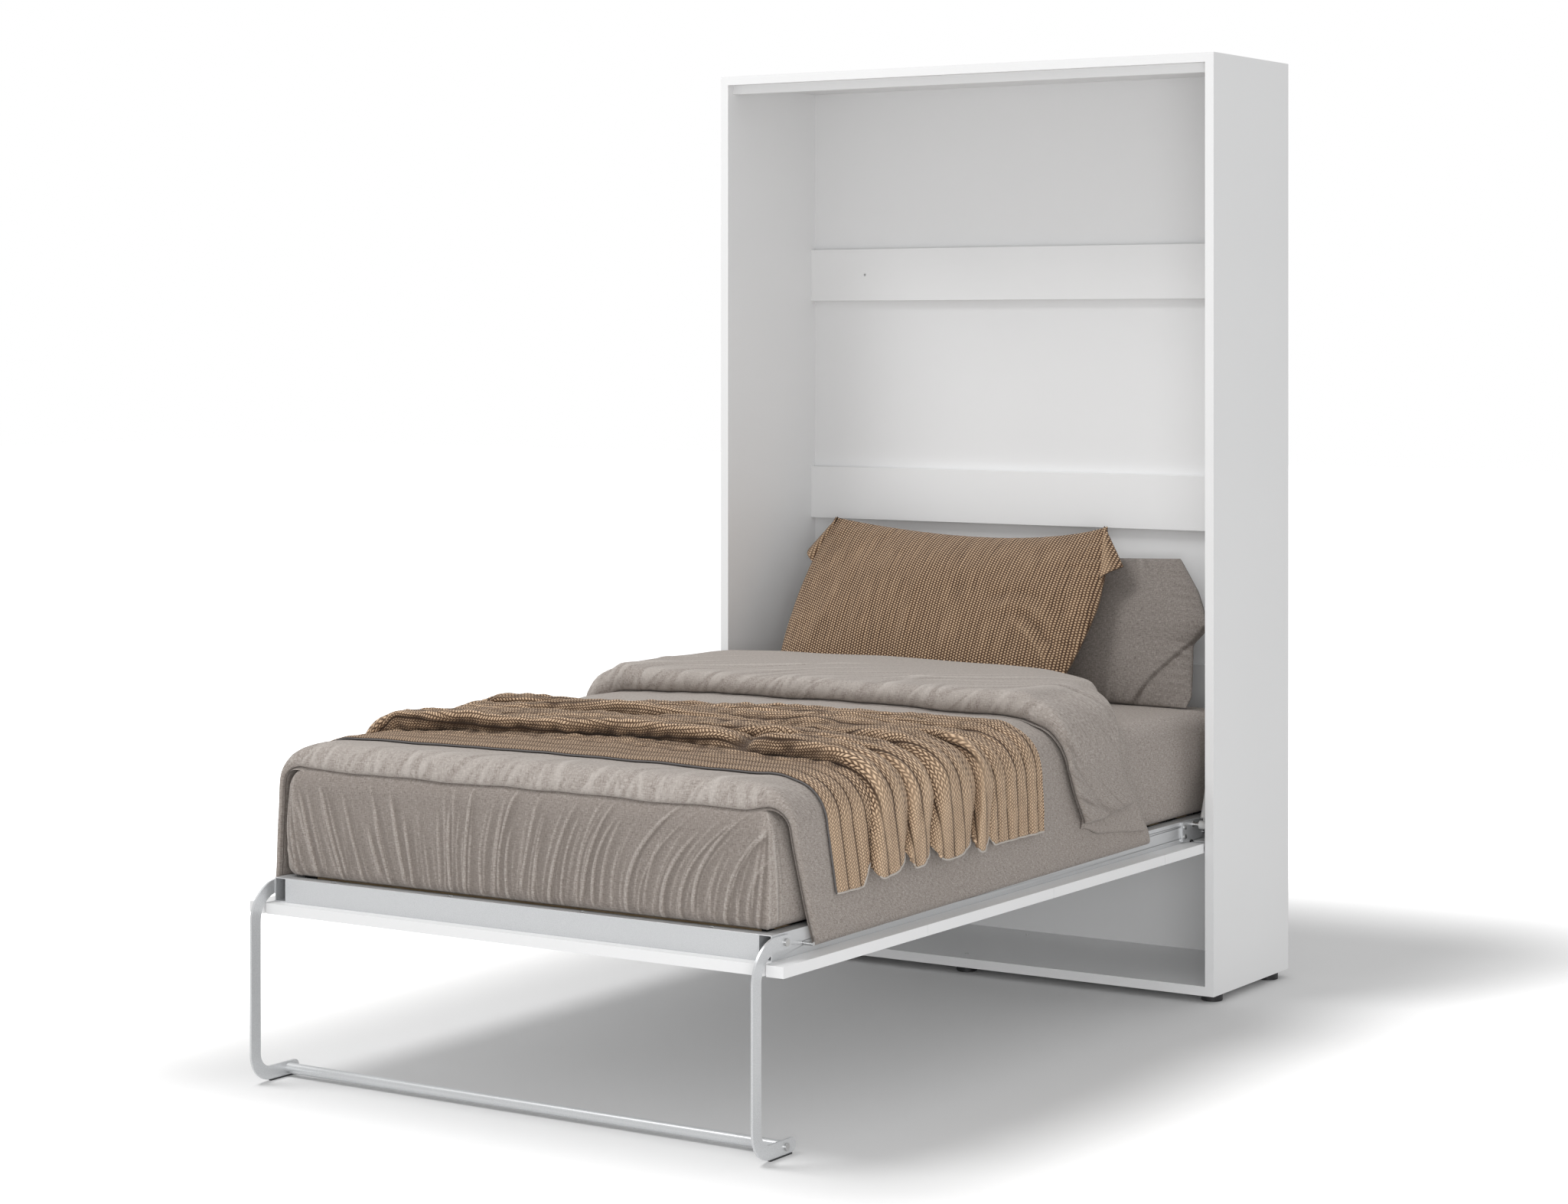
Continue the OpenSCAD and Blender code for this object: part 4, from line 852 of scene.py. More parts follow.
def sheet_relief(x, u, z, nx, nu, up):
    """Height of the fitted sheet's folds over the plain skin, and the painted light and shade on them:
    creases on its foot face, pleats at its full corners, and soft waves on its top and its sides. The
    whole foot face is darkened as painted shade."""
    upright = 1 - smooth(0.55, 0.97, np.abs(up))
    foot = smooth(0.55, 0.95, nu) * upright
    height, painted_light = foot_creases(x, z)
    height = foot * (height + 1.8 * MM * noise(x / 0.16, z / 0.11, 5) + 1.0 * MM)
    # The whole foot face is darkened as painted shade
    painted_light = foot * (painted_light - 0.60)
    height += 9 * MM * 4 * np.abs(nx * nu) ** 2 * (1 - up ** 2)
    at_corner = smooth(0.02, 0.10, np.abs(nx * nu))
    pleats, pleat_painted_light = corner_pleats(nx, nu, z)
    height += at_corner * pleats
    # Painted light and shade of the corner pleats
    painted_light += at_corner * pleat_painted_light
    top = smooth(0.8, 1, up)
    height += top * (1.4 * MM * noise(x / 0.15, u / 0.13, 6) + 0.6 * MM * noise(x / 0.05, u / 0.07, 7))
    side = smooth(0.6, 0.95, np.abs(nx)) * upright
    small = noise(u / 0.045, z / 0.12, 9)
    height += side * (1.3 * MM * noise(u / 0.14, z / 0.09, 8) + 0.7 * MM * small)
    # Painted light on the small side waves: lighter where they stand out, darker where they sink
    return height, np.clip(painted_light + 0.25 * side * small, -1, 1)


def fitted_sheet():
    """One cloth drawn over the mattress, with its creases, sewn corners and gathered hem."""
    grow = TOUCH + SHEET_T
    profile = padded_profile(BED_Z + 2 * MM, EDGE_TOP + grow, 24 * MM, 56 * MM, 4.2 * MM, BED_HALF + grow,
                             59, bulge=4 * MM)
    piece = ring_mesh("sheet_cloth", rim(2.6 * MM, 12 * MM, 36), profile, grow, 42 * MM, sheet_relief)
    box_uvs(piece)
    apply(piece, "SOLIDIFY", thickness=1.2 * MM, offset=-1.0)
    declare(piece, "linen_cloth", "fitted_sheet")


# Duvet: a foot roll, a level stretch, and the head end folded back over it

# Thickness on top and on the hanging sides, the round of its hems, and the heights of the hems
DUVET_T = 38 * MM
ROLL_T = 46 * MM
FOLD_TOP = 104 * MM
DUVET_SIDE_T = 10 * MM
LAYER_SIDE_T = 9 * MM
FLAP_SIDE_T = 13 * MM
HEM_ROUND = 14 * MM
DUVET_HEM = RAIL_TOP - 40 * MM
DUVET_HEM_RISE = 12 * MM
FLAP_HEM = RAIL_TOP + 62 * MM
LAYER_HEM = RAIL_TOP + 31 * MM

# The foot edge: its distance, its slant and setting back on the hanging sides, and the left's flare
DUVET_FOOT_U = FRONT_Y - DUVET_LOW.y
FOOT_SLANT = 92 * MM
FOOT_SLANT_LEFT = -5 * MM
FOOT_SET_BACK = 22 * MM
LEFT_FLARE = 12 * MM

# How far the roll and the flap's foot and head sides round over, on top and on the hanging sides
ROLL_ROUND = (16 * MM, 10 * MM)
FLAP_FOOT_ROUND = (27 * MM, 14 * MM)
FLAP_HEAD_ROUND = (46 * MM, 18 * MM)

# Share of the height of the duvet and the throw meant to be left when the bed is closed; declare only
# reads whether it is given
BED_CLOSED = 0.40

# Distance of the folded layer's edges at places across, from the left hem to the right hem
FOLD_ACROSS = (-0.84, -0.62, -0.40, 0.0, 0.20, 0.35, 0.52, 0.62, 0.70, 0.84)
FOLD_FOOT = (0.560, 0.640, 0.680, 0.690, 0.685, 0.678, 0.665, 0.640, 0.600, 0.505)
FOLD_HEAD = (0.240, 0.160, 0.090, 0.086, 0.092, 0.135, 0.270, 0.400, 0.370, 0.255)


def columns(hem, flat_step, side_step):
    """Places across a cloth from its left hem to its right hem, closer at the edges and hems."""
    end = arc_to(hem)
    near = FLAT - 30 * MM
    far = FLAT + BEND
    flat = np.linspace(0, near, int(near / flat_step))[:-1]
    bend = np.linspace(near, far, int((far - near) / side_step))[:-1]
    drop = np.linspace(far, end - HEM_ROUND, int((end - far) / side_step))[:-1]
    tip = end - HEM_ROUND * (1 - np.sin(np.linspace(0, math.pi / 2, 6)))
    half = np.concatenate([flat, bend, drop, tip])
    return np.concatenate([-half[:0:-1], half])


def drawn(arc, hem):
    """The places across, with their hanging ends drawn out or in to end at hems of these heights."""
    a = np.abs(arc)
    scale = (arc_to(hem) - FLAT) / (a.max() - FLAT)
    return np.sign(arc) * np.where(a > FLAT, FLAT + (a - FLAT) * scale, a)


def hem_round(arc):
    """1 over the cloth, falling like a round edge to 0 at both ends."""
    near = np.minimum(arc - arc[0], arc[-1] - arc) / HEM_ROUND
    return np.sqrt(1 - (1 - np.clip(near, 0, 1)) ** 2)


def closed_shell(name, arc, u, outer, inner, relief, hem):
    """A padded cloth. Row by row from the foot end to the head end, u is the distance, outer and inner
    are the lifts of its two faces, relief is added to the outer one, and hem is the height of the hem."""
    edge = hem_round(arc)
    # Painted light: highlights on the crests of the folds and shade in their hollows, a lighter top and
    # darker hanging sides
    painted_light = np.clip(0.65 * crests(relief * edge, 1.5 * MM) + 0.40 - 0.50 * side_share(arc), -1, 1)
    place = drawn(arc, hem)
    points = []
    uvs = []
    for lift in (inner + (outer + relief - inner) * edge, inner):
        x, z = hang(place, lift, u)
        points.append(to_frame(x, u, z))
        uvs.append(np.stack(np.broadcast_arrays(place, travel(u, lift) + u[0]), axis=-1).reshape(-1, 2))
    rows, cols = u.shape
    faces = np.concatenate([quads(rows, cols), quads(rows, cols, rows * cols, flip=True)])
    return new_mesh(name, np.concatenate(points), faces, np.concatenate(uvs), weld=0.05 * MM,
                    painted_light=np.concatenate([painted_light, painted_light]))


def end_round(u, low, high, depth, count, up):
    """A rounded end of a padded cloth at distance u: rows of u and lift, from below round to the top
    when up is true, or from the top round to below."""
    turn = np.linspace(-math.pi / 2, math.pi / 2, count)[:, None]
    lift = blend(low, high, 0.5 + 0.5 * np.sin(turn))
    out = depth * np.cos(turn)
    if up:
        return u - depth + out, lift
    return (u + depth - out)[::-1], lift[::-1]


def duvet_edges(arc):
    """Foot edge and head edge of the lower layer at each place across."""
    share = fall_share(arc, DUVET_HEM)
    slant = np.where(arc > 0, FOOT_SLANT, FOOT_SLANT_LEFT)
    foot = DUVET_FOOT_U - slant * share ** 1.3 - np.where(arc > 0, FOOT_SET_BACK, 0) * side_share(arc)
    foot = foot + 3 * MM * noise(arc / 0.12, 0.2, 10)
    head = np.interp(arc, FOLD_ACROSS, FOLD_HEAD) + 90 * MM * (1 - side_share(arc)) - 60 * MM * share
    return foot, soften(head, 30)


def level_lift(arc, u):
    """Thickness of the duvet's level stretch, with its soft waves, fuller before the folded layer."""
    side = side_share(arc)
    wave = 4.0 * MM * noise(arc / 0.21, u / 0.19, 11) + 2.0 * MM * noise(arc / 0.08, u / 0.10, 12)
    full = 17 * MM * smooth(0.95, 0.74, u)
    hung = 3.0 * MM * noise(u / 0.15, arc / 0.30, 13) + 1.5 * MM * noise(u / 0.055, arc / 0.22, 14)
    return blend(DUVET_T + wave + full, DUVET_SIDE_T + np.abs(hung), side)


def roll_puckers(arc, way):
    """Short creases that gather at the duvet's foot seam; way is measured from the seam."""
    small = creases(arc, way, (-0.85, 0.85, 0.017), 21, (0.03, 0.085), (0.8, 2.8), (2.5, 4.6), lean=0.40,
                    wander=0.35, grow=0.0)
    broad = creases(arc, way, (-0.85, 0.85, 0.090), 23, (0.10, 0.24), (0.8, 2.2), (8, 17), lean=0.6,
                    wander=0.4, grow=0.15)
    return small + broad


def duvet_surface(arc, u):
    """Lift of the duvet's lower layer and its puckers behind the foot roll, at distances u."""
    side = side_share(arc)
    foot, _ = duvet_edges(arc)
    roll = blend(ROLL_T, DUVET_SIDE_T + 5 * MM, side)
    level = level_lift(arc, u)
    level = level + (roll - level) * np.exp(-np.maximum(foot - u - 20 * MM, 0) / (70 * MM))
    return level, roll_puckers(arc, foot - u + 0.7 * roll) * (1 - 0.65 * side)


def lower_duvet(arc):
    """The level layer: a rounded foot roll, the long level stretch, and an end under the folded part."""
    side = side_share(arc)
    foot, head = duvet_edges(arc)
    low = 0.6 * MM
    depth = blend(*ROLL_ROUND, side)
    f = np.linspace(0, 1, 190)[1:, None]
    level_u = blend(foot - depth, head + 20 * MM, f)
    level, level_relief = duvet_surface(arc, level_u)
    round_u, round_lift = end_round(foot, low, level[0], depth, 16, True)
    end_u, end_lift = end_round(head, low, level[-1:], np.full(arc.shape, 20 * MM), 8, False)
    round_relief = roll_puckers(arc, foot - round_u + 0.7 * round_lift)
    round_relief = round_relief * (1 - 0.65 * side) * smooth(4 * MM, 22 * MM, round_lift)
    u = np.concatenate([round_u, level_u, end_u[1:]])
    lift = np.concatenate([round_lift, level, end_lift[1:]])
    relief = np.concatenate([round_relief, level_relief, 0 * end_u[1:]])
    flare = LEFT_FLARE * np.where(arc < 0, fall_share(arc, DUVET_HEM), 0) * smooth(0.30, 0, foot - u)
    hem = DUVET_HEM + DUVET_HEM_RISE * (foot - u) / (foot - head)
    return closed_shell("duvet_level", arc, u, lift + flare, low + flare, relief, hem)


def fold_edges(arc):
    """Foot side and head side of the folded back layer at each place across."""
    foot = soften(np.interp(arc, FOLD_ACROSS, FOLD_FOOT), 20) + 4 * MM * noise(arc / 0.15, 0.3, 41)
    return foot, soften(np.interp(arc, FOLD_ACROSS, FOLD_HEAD), 20)


def fold_wrinkles(arc, way):
    """Creases of the folded layer: puckers that rise from its roll, and long slanting ones on top."""
    rise = creases(arc, way, (-0.85, 0.85, 0.026), 43, (0.04, 0.13), (1.4, 5.0), (3.0, 6.5), lean=0.55,
                   wander=0.35, bow=0.25, grow=0.0)
    slant = creases(arc, way - 0.09, (-0.75, 0.75, 0.11), 45, (0.22, 0.45), (1.6, 3.4), (5, 10),
                    lean=1.35, wander=0.35)
    soft = creases(arc, way - 0.01, (-0.8, 0.8, 0.12), 47, (0.12, 0.30), (2.5, 6.0), (18, 34), lean=0.6,
                   wander=0.5, grow=0.1)
    return rise + slant + soft


def fold_shell(name, arc, edges, base, high, depths, hem, relief):
    """A layer folded back over the duvet: a round foot side, a level top, and a round head side."""
    foot, head = edges
    foot_depth, head_depth = depths
    round_u, round_lift = end_round(foot, base, high, foot_depth, 18, True)
    f = np.linspace(0, 1, 90)[1:, None]
    level_u = blend(foot - foot_depth, head + head_depth, f)
    level = high * (1 + 0.03 * np.sin(math.pi * f) - 0.02 * f)
    level = level + 3 * MM * noise(arc / 0.24, level_u / 0.16, 49) * (1 - 0.6 * side_share(arc))
    _, lower_head = duvet_edges(arc)
    end_low = np.where(head > lower_head, base, blend(1.5 * MM, 0.9 * base, side_share(arc)))
    end_u, end_lift = end_round(head, end_low, level[-1:], head_depth, 16, False)
    u = np.concatenate([round_u, level_u, end_u[1:]])
    lift = np.concatenate([round_lift, level, end_lift[1:]])
    way = travel(u, lift)
    under = blend(end_low, base, smooth(lower_head - 60 * MM, lower_head + 10 * MM, u))
    under = np.minimum(under, lift)
    under[0] = lift[0]
    under[-1] = lift[-1]
    folds = relief(arc, way - 12 * MM) * smooth(4 * MM, 24 * MM, way) * (1 - 0.45 * side_share(arc))
    folds = folds * smooth(0, 12 * MM, way[-1] - way)
    return closed_shell(name, arc, u, lift, under, folds, hem(u))


def fold_duvet(arc):
    """The outer flap: a thick slab on top whose hems hang down both sides and curl out a little."""
    side = side_share(arc)
    base = np.maximum(level_lift(arc, fold_edges(arc)[0]) + 0.5 * MM, DUVET_SIDE_T + 1 * MM)
    base = base + (LAYER_SIDE_T + 2 * MM) * side
    curl = 7 * MM * fall_share(arc, FLAP_HEM) ** 4
    level_top = FOLD_TOP + 0.8 * (CROWN - crown(np.minimum(np.abs(arc), FLAT), 0.4, FLAT))
    high = blend(level_top, base + FLAP_SIDE_T, side) + curl
    depths = (blend(*FLAP_FOOT_ROUND, side), blend(*FLAP_HEAD_ROUND, side))

    def hem(u):
        return FLAP_HEM + 27 * MM * smooth(0.52, 0.24, u)

    return fold_shell("duvet_flap", arc, fold_edges(arc), base, high, depths, hem, fold_wrinkles)


def fold_layer(arc):
    """The second layer, which shows below the flap on the hanging sides."""
    side = side_share(arc)
    foot, head = fold_edges(arc)
    base = DUVET_SIDE_T + 1 * MM + blend(DUVET_T - 8 * MM, 0, side)
    high = base + blend(12 * MM, LAYER_SIDE_T, side)
    low = fall_share(arc, LAYER_HEM)
    edges = (foot - 30 * MM + 48 * MM * low ** 4, head + 60 * MM - 110 * MM * side)
    depths = (np.full(arc.shape, 9 * MM), np.full(arc.shape, 9 * MM))

    def hem(u):
        return LAYER_HEM - 24 * MM * smooth(0.52, 0.20, u) + 18 * MM * smooth(0.46, 0.54, u)

    def still(across, way):
        return 1.2 * MM * noise(across / 0.08, way / 0.06, 50)

    return fold_shell("duvet_layer", arc, edges, base, high, depths, hem, still)


def join(name, pieces):
    """One object from several meshes."""
    bpy.ops.object.select_all(action="DESELECT")
    for piece in pieces:
        piece.select_set(True)
    bpy.context.view_layer.objects.active = pieces[0]
    with bpy.context.temp_override(active_object=pieces[0], selected_editable_objects=pieces):
        bpy.ops.object.join()
    pieces[0].name = name
    return pieces[0]


def duvet():
    """The level layer, the flap folded back over it, and the layer that shows on each hanging side."""
    layer = columns(LAYER_HEM, 7 * MM, 6 * MM)
    shells = [lower_duvet(columns(DUVET_HEM, 7 * MM, 6 * MM))]
    shells.append(fold_duvet(columns(FLAP_HEM, 6 * MM, 5 * MM)))
    shells += [fold_layer(layer[sign * layer > FLAT - 90 * MM]) for sign in (1, -1)]
    piece = join("duvet_cloth", shells)
    declare(piece, "linen_cloth", "duvet", keep=BED_CLOSED)


# Throw: a ribbed knit cloth, with arc across the bed along its ribs and q the way across them

# Thickness of the knit, height of its ribs and chains, height of its hems, and low waves at the rear
KNIT_T = 3.15 * MM
RIB_HEIGHT = 4.0 * MM
CHAIN_HEIGHT = 0.9 * MM
THROW_HEM = RAIL_TOP + 69 * MM
REAR_WAVES = 3

# Distance of the throw's front edge, of the lines where its folds meet the duvet and of its rear edge,
# at places across from the left hem to the right hem
THROW_ACROSS = (-0.75, -0.45, 0.0, 0.33, 0.60, 0.78)
THROW_LINES = (
    (1.622, 1.622, 1.620, 1.618, 1.600, 1.548),
    (1.440, 1.435, 1.392, 1.415, 1.432, 1.437),
    (1.362, 1.330, 1.300, 1.268, 1.290, 1.308),
    (1.240, 1.205, 1.160, 1.150, 1.188, 1.218),
    (1.130, 1.060, 1.000, 0.990, 1.020, 1.050),
    (1.085, 0.985, 0.915, 0.900, 0.940, 0.980),
    (1.045, 0.945, 0.825, 0.785, 0.742, 0.725))
FOLD_HEIGHTS = (42 * MM, 34 * MM, 36 * MM, 30 * MM)

# How far the folds roll towards the foot for their height, on top and on the hanging sides
FOLD_LEAN = (1.15, 0.80)

# Dent in the first fold and hump on the last, at places across
DENT_PLACE = 0.31
HUMP_PLACE = -0.56
HUMP_HEIGHT = 22 * MM

# Hem of the flat front strip, how far the valleys draw the hem up, and the limit beside the cabinet
STRIP_HEM = RAIL_TOP + 53 * MM
TUCK = 44 * MM
SIDE_LIMIT = SIDE_INNER - 5 * MM
SIDE_KNEE = 12 * MM


def throw_lines(arc):
    """The lines of the throw at each place across, one row per line."""
    lines = np.stack([np.interp(arc, THROW_ACROSS, row) for row in THROW_LINES])
    lines = soften(lines, 40, 1)
    for k in range(1, len(lines) - 1):
        lines[k] += 12 * MM * noise(arc / 0.30, k * 1.7, 53) + 4 * MM * noise(arc / 0.09, k * 2.3, 54)
    lines[0] += 3 * MM * noise(arc / 0.20, 0.1, 51)
    lines[-1] += 9 * MM * noise(arc / 0.20, 0.7, 52)
    return lines


def throw_folds(arc, lines):
    """Rows of the throw from its front edge to its rear edge: base distance u, height over the duvet,
    and tuck, which is 1 in the valleys that draw up its hem. The front strip is flat, then come the
    folds, then low waves."""
    side = side_share(arc)
    t = np.linspace(0, 1, 90)[:-1, None]
    rows = [(blend(lines[0], lines[1], t), 0 * t, smooth(0.75, 1.0, t))]
    for k, high in enumerate(FOLD_HEIGHTS):
        t = np.linspace(0, 1, 150)[:-1, None]
        own = high * (1 + 0.25 * noise(arc / 0.35, k * 1.9, 55))
        if k == 0:
            own = own * (1 - 0.75 * ridge(arc - DENT_PLACE, 0.045))
        if k == 3:
            own = own + HUMP_HEIGHT * ridge(arc - HUMP_PLACE, 0.12)
        own = blend(own, np.minimum(own, 31 * MM), side)
        lobe = np.sin(math.pi * t) ** 0.8
        creased = 1 + 0.16 * np.sin(3 * math.pi * t + 3 * noise(arc / 0.5, k, 56))
        rows.append((blend(lines[k + 1], lines[k + 2], t), own * lobe * creased, (1 - lobe) ** 1.4))
    t = np.linspace(0, 1, 260)[:, None]
    wander = t * (1 - t) * noise(arc / 0.30, 3.3, 57)
    wave = np.abs(np.sin(math.pi * (REAR_WAVES * t + wander)))
    rows.append((blend(lines[-2], lines[-1], t), blend(13 * MM, 4 * MM, side) * wave * (1 - t) ** 0.5,
                 0.6 * (1 - smooth(0, 0.12, t))))
    return [np.concatenate([np.broadcast_to(row[k], (len(row[0]), len(arc))) for row in rows])
            for k in range(3)]


def even_rows(values, way, q, length):
    """Rows of values taken again at even steps of the way along the cloth."""
    taken = [np.interp(q / length, way[:, k] / way[-1, k], values[:, k]) for k in range(values.shape[1])]
    return np.stack(taken, axis=1)


def surface_normals(points):
    """Outward directions of a grid of points."""
    normal = np.cross(np.gradient(points, axis=1), np.gradient(points, axis=0))
    normal /= np.linalg.norm(normal, axis=2, keepdims=True)
    return normal * np.where(np.median(normal[..., 2]) < 0, -1, 1)


def beside_cabinet(x):
    """Places x with the hanging folds held in, so that they clear the cabinet as the bed closes."""
    wide = np.abs(x)
    over = np.maximum(wide - (SIDE_LIMIT - SIDE_KNEE), 0)
    return np.sign(x) * (wide - over + SIDE_KNEE * np.tanh(over / SIDE_KNEE))


def throw_cloth():
    """The knit laid over the duvet. Its ribs and folds run across the bed, and the folds roll towards
    the foot. Gives the cloth and the grid of its points."""
    arc = columns(THROW_HEM, 7 * MM, 6 * MM)
    side = side_share(arc)
    base_u, height, tuck = throw_folds(arc, throw_lines(arc))
    u = base_u + blend(*FOLD_LEAN, side) * height
    level, puckers = duvet_surface(arc, u)
    lift = level + np.maximum(puckers, 0) + 4 * MM + height
    way = travel(u, lift)
    length = float(np.median(way[-1]))
    q = np.linspace(0, length, int(length / (2.9 * MM)))
    base_u, u, lift, height, tuck = (even_rows(v, way, q, length) for v in (base_u, u, lift, height, tuck))
    hem = blend(THROW_HEM, STRIP_HEM, smooth(1.36, 1.44, base_u[:, -1:])) + TUCK * tuck[:, -1:]
    place = drawn(arc, np.where(arc > 0, hem, THROW_HEM))
    x, z = hang(place, lift, u)
    points = np.stack([x, FRONT_Y - u, z], axis=-1)
    q = q[:, None]
    rib = np.abs(np.sin(math.pi * q / RIB))
    chain = np.abs(np.sin(math.pi * q / (2 * STRAND)))
    loose = smooth(0.08, 0.16, q / length) * (1 - 0.55 * side)
    gather = 2.6 * noise(arc / 0.026, q / 0.020, 58) + 3.0 * noise(arc / 0.09, q / 0.030, 59)
    gather = MM * gather * loose
    push = RIB_HEIGHT * (rib ** 0.6 - 1) + CHAIN_HEIGHT * chain + gather + 4.6 * MM
    points = points + surface_normals(points) * push[..., None]
    points[..., 0] = beside_cabinet(points[..., 0])
    # Painted light: highlights on the crests of the folds, shade in their hollows and in the valleys that
    # draw up the hem, a darker top and lighter hanging sides
    painted_light = 0.65 * crests(height + 1.2 * gather + 1.2 * push[:, :1], 5 * MM, 18)
    painted_light = np.clip(painted_light - 0.30 * tuck ** 2 + blend(-0.44, 0.50, side), -1, 1)
    uvs = np.stack(np.broadcast_arrays(place, q), axis=-1).reshape(-1, 2)
    piece = new_mesh("throw_cloth", points.reshape(-1, 3), quads(len(q), len(arc)), uvs, painted_light=painted_light)
    return piece, points


def edge_tube(name, path, radius, finish):
    """A round binding sewn along an edge."""
    along = np.gradient(path, axis=0)
    along /= np.linalg.norm(along, axis=1, keepdims=True)
    helper = np.where(np.abs(along[:, 2:3]) > 0.9, (1.0, 0, 0), (0, 0, 1.0))
    a = np.cross(along, helper)
    a /= np.linalg.norm(a, axis=1, keepdims=True)
    b = np.cross(along, a)
    turns = np.linspace(0, 2 * math.pi, 9)
    cos, sin = np.cos(turns)[:, None], np.sin(turns)[:, None]
    rings = path[:, None] + radius * (cos * a[:, None] + sin * b[:, None])
    way = np.concatenate([[0], np.cumsum(np.linalg.norm(np.diff(path, axis=0), axis=1))])
    uvs = np.stack(np.broadcast_arrays(way[:, None], turns * radius), axis=-1).reshape(-1, 2)
    piece = new_mesh(name, rings.reshape(-1, 3), quads(len(path), len(turns)), uvs, weld=0.02 * MM)
    declare(piece, "brown_knit", keep=BED_CLOSED, finish=finish)
    return piece


def throw():
    """The throw with a binding along each of its four edges, laid in the middle of its thickness."""
    piece, points = throw_cloth()
    apply(piece, "SOLIDIFY", thickness=KNIT_T, offset=-1.0)
    declare(piece, "brown_knit", "throw", keep=BED_CLOSED)
    points = points - (0, 0, 1.2 * MM)
    bindings = [edge_tube("throw_hem_right", points[:, -1], 2.0 * MM, "hem_yarn"),
                edge_tube("throw_hem_left", points[:, 0], 2.0 * MM, "hem_yarn"),
                edge_tube("throw_front_edge", points[0], 1.8 * MM, "edge_yarn"),
                edge_tube("throw_rear_edge", points[-1], 1.6 * MM, "brown_knit")]


# Pillows: sewn cases, with x across, y up the pillow and depth towards its front

# Share of a pillow's height meant to be left when the bed is closed (declare only reads whether it is
# given), and half the thickness of its seam
PILLOW_CLOSED = 0.11
PILLOW_SEAM = 1.8 * MM

# Folds pressed into the front pillow: height and width in millimetres, and the points of each line
FRONT_FOLDS = (
    (5.0, 10, ((0.250, 0.200), (0.290, 0.175), (0.335, 0.135), (0.375, 0.075))),
    (-4.5, 9, ((0.272, 0.222), (0.312, 0.195), (0.355, 0.155), (0.392, 0.100))),
    (3.5, 16, ((0.170, 0.215), (0.230, 0.245), (0.300, 0.235), (0.370, 0.185))),
    (-3.0, 13, ((0.170, 0.255), (0.235, 0.282), (0.310, 0.268), (0.385, 0.215))),
    (-4.0, 9, ((0.330, 0.420), (0.352, 0.340), (0.362, 0.250), (0.352, 0.170))),
    (2.0, 18, ((-0.030, 0.060), (-0.045, 0.200), (-0.040, 0.340))))

# Left edge of the rear pillow, heights up it, and the place of its right edge at each
REAR_LEFT = -0.370
REAR_UP = (0, 0.03, 0.10, 0.16, 0.200, 0.235, 0.30, 0.382)
REAR_EDGE = (0.352, 0.360, 0.348, 0.338, 0.372, 0.356, 0.318, 0.252)


def pillow_grid(cells_across, cells_up):
    """Places over a pillow's face, from -1 to 1 both ways, closer at its seams."""
    a, b = (np.sin(np.linspace(-1, 1, cells) * math.pi / 2) for cells in (cells_across, cells_up))
    return np.meshgrid(a, b, indexing="ij")


def fullness(a, b, thick, seed):
    """Half the thickness of a filled pillow over its face, thick in the middle and 0 at its seams."""
    across, up = (np.clip(1 - np.abs(part) ** 2.3, 0, 1) ** 0.62 for part in (a, b))
    return across * up * (1 + 0.10 * noise(a * 1.3, b * 1.1, seed)) * thick


def stroke(x, y, path, width):
    """1 along a line through the points of path, falling off on both sides and towards its ends."""
    path = np.array(path)
    total = np.zeros(x.shape)
    for k in range(len(path) - 1):
        start, step = path[k], path[k + 1] - path[k]
        f = np.clip(((x - start[0]) * step[0] + (y - start[1]) * step[1]) / (step @ step), 0, 1)
        away = np.hypot(x - start[0] - f * step[0], y - start[1] - f * step[1])
        place = (k + f) / (len(path) - 1)
        total = np.maximum(total, ridge(away, width) * np.sqrt(np.sin(math.pi * (0.08 + 0.84 * place))))
    return total


def case_relief(a, b, folds, full, seed):
    """Folds over a pillow's face with small gathers along its four seams, fading to nothing at them."""
    upright = noise(a * 22, b * 2.0, seed) * ridge(1 - np.abs(b), 0.22)
    level = noise(a * 2.0, b * 15, seed + 1) * ridge(1 - np.abs(a), 0.20)
    puckers = 2.6 * MM * (upright + level) + 1.8 * MM * noise(a * 5, b * 4, seed + 2)
    return (folds + puckers) * np.clip(full / (12 * MM), 0, 1)


def leaning(degrees, place_x, low_u):
    """Gives the function that stands a pillow's points on the sheet at a place and leans them back. The
    low edge is pressed flat."""
    c, s = math.cos(math.radians(degrees)), math.sin(math.radians(degrees))

    def stand(x, y, depth):
        x = x + place_x
        u = low_u - y * s + depth * c
        z = SHEET_TOP + 6 * MM + y * c + depth * s
        return to_frame(x, u, np.maximum(z, SHEET_TOP + crown(x, u) + 1 * MM))

    return stand


def two_faces(name, x, y, front, back, stand, painted_light):
    """A closed case from a grid of places and the depths of its front and back. The painted light given is
    the front's; the back has none.
    """
    rows, cols = x.shape
    n = rows * cols
    faces = [quads(rows, cols, flip=True), quads(rows, cols, n)]
    border = np.concatenate([np.arange(cols), np.arange(1, rows) * cols + cols - 1,
                             (rows - 1) * cols + np.arange(cols - 2, -1, -1),
                             np.arange(rows - 2, -1, -1) * cols])
    faces.append(np.stack([border[:-1], border[1:], border[1:] + n, border[:-1] + n], axis=1))
    points = np.concatenate([stand(x, y, front), stand(x, y, back)])
    uvs = np.concatenate([np.stack([x * side, y], axis=-1).reshape(-1, 2) for side in (1, -1)])
    return new_mesh(name, points, np.concatenate(faces), uvs, painted_light=np.concatenate([painted_light, 0 * painted_light]))


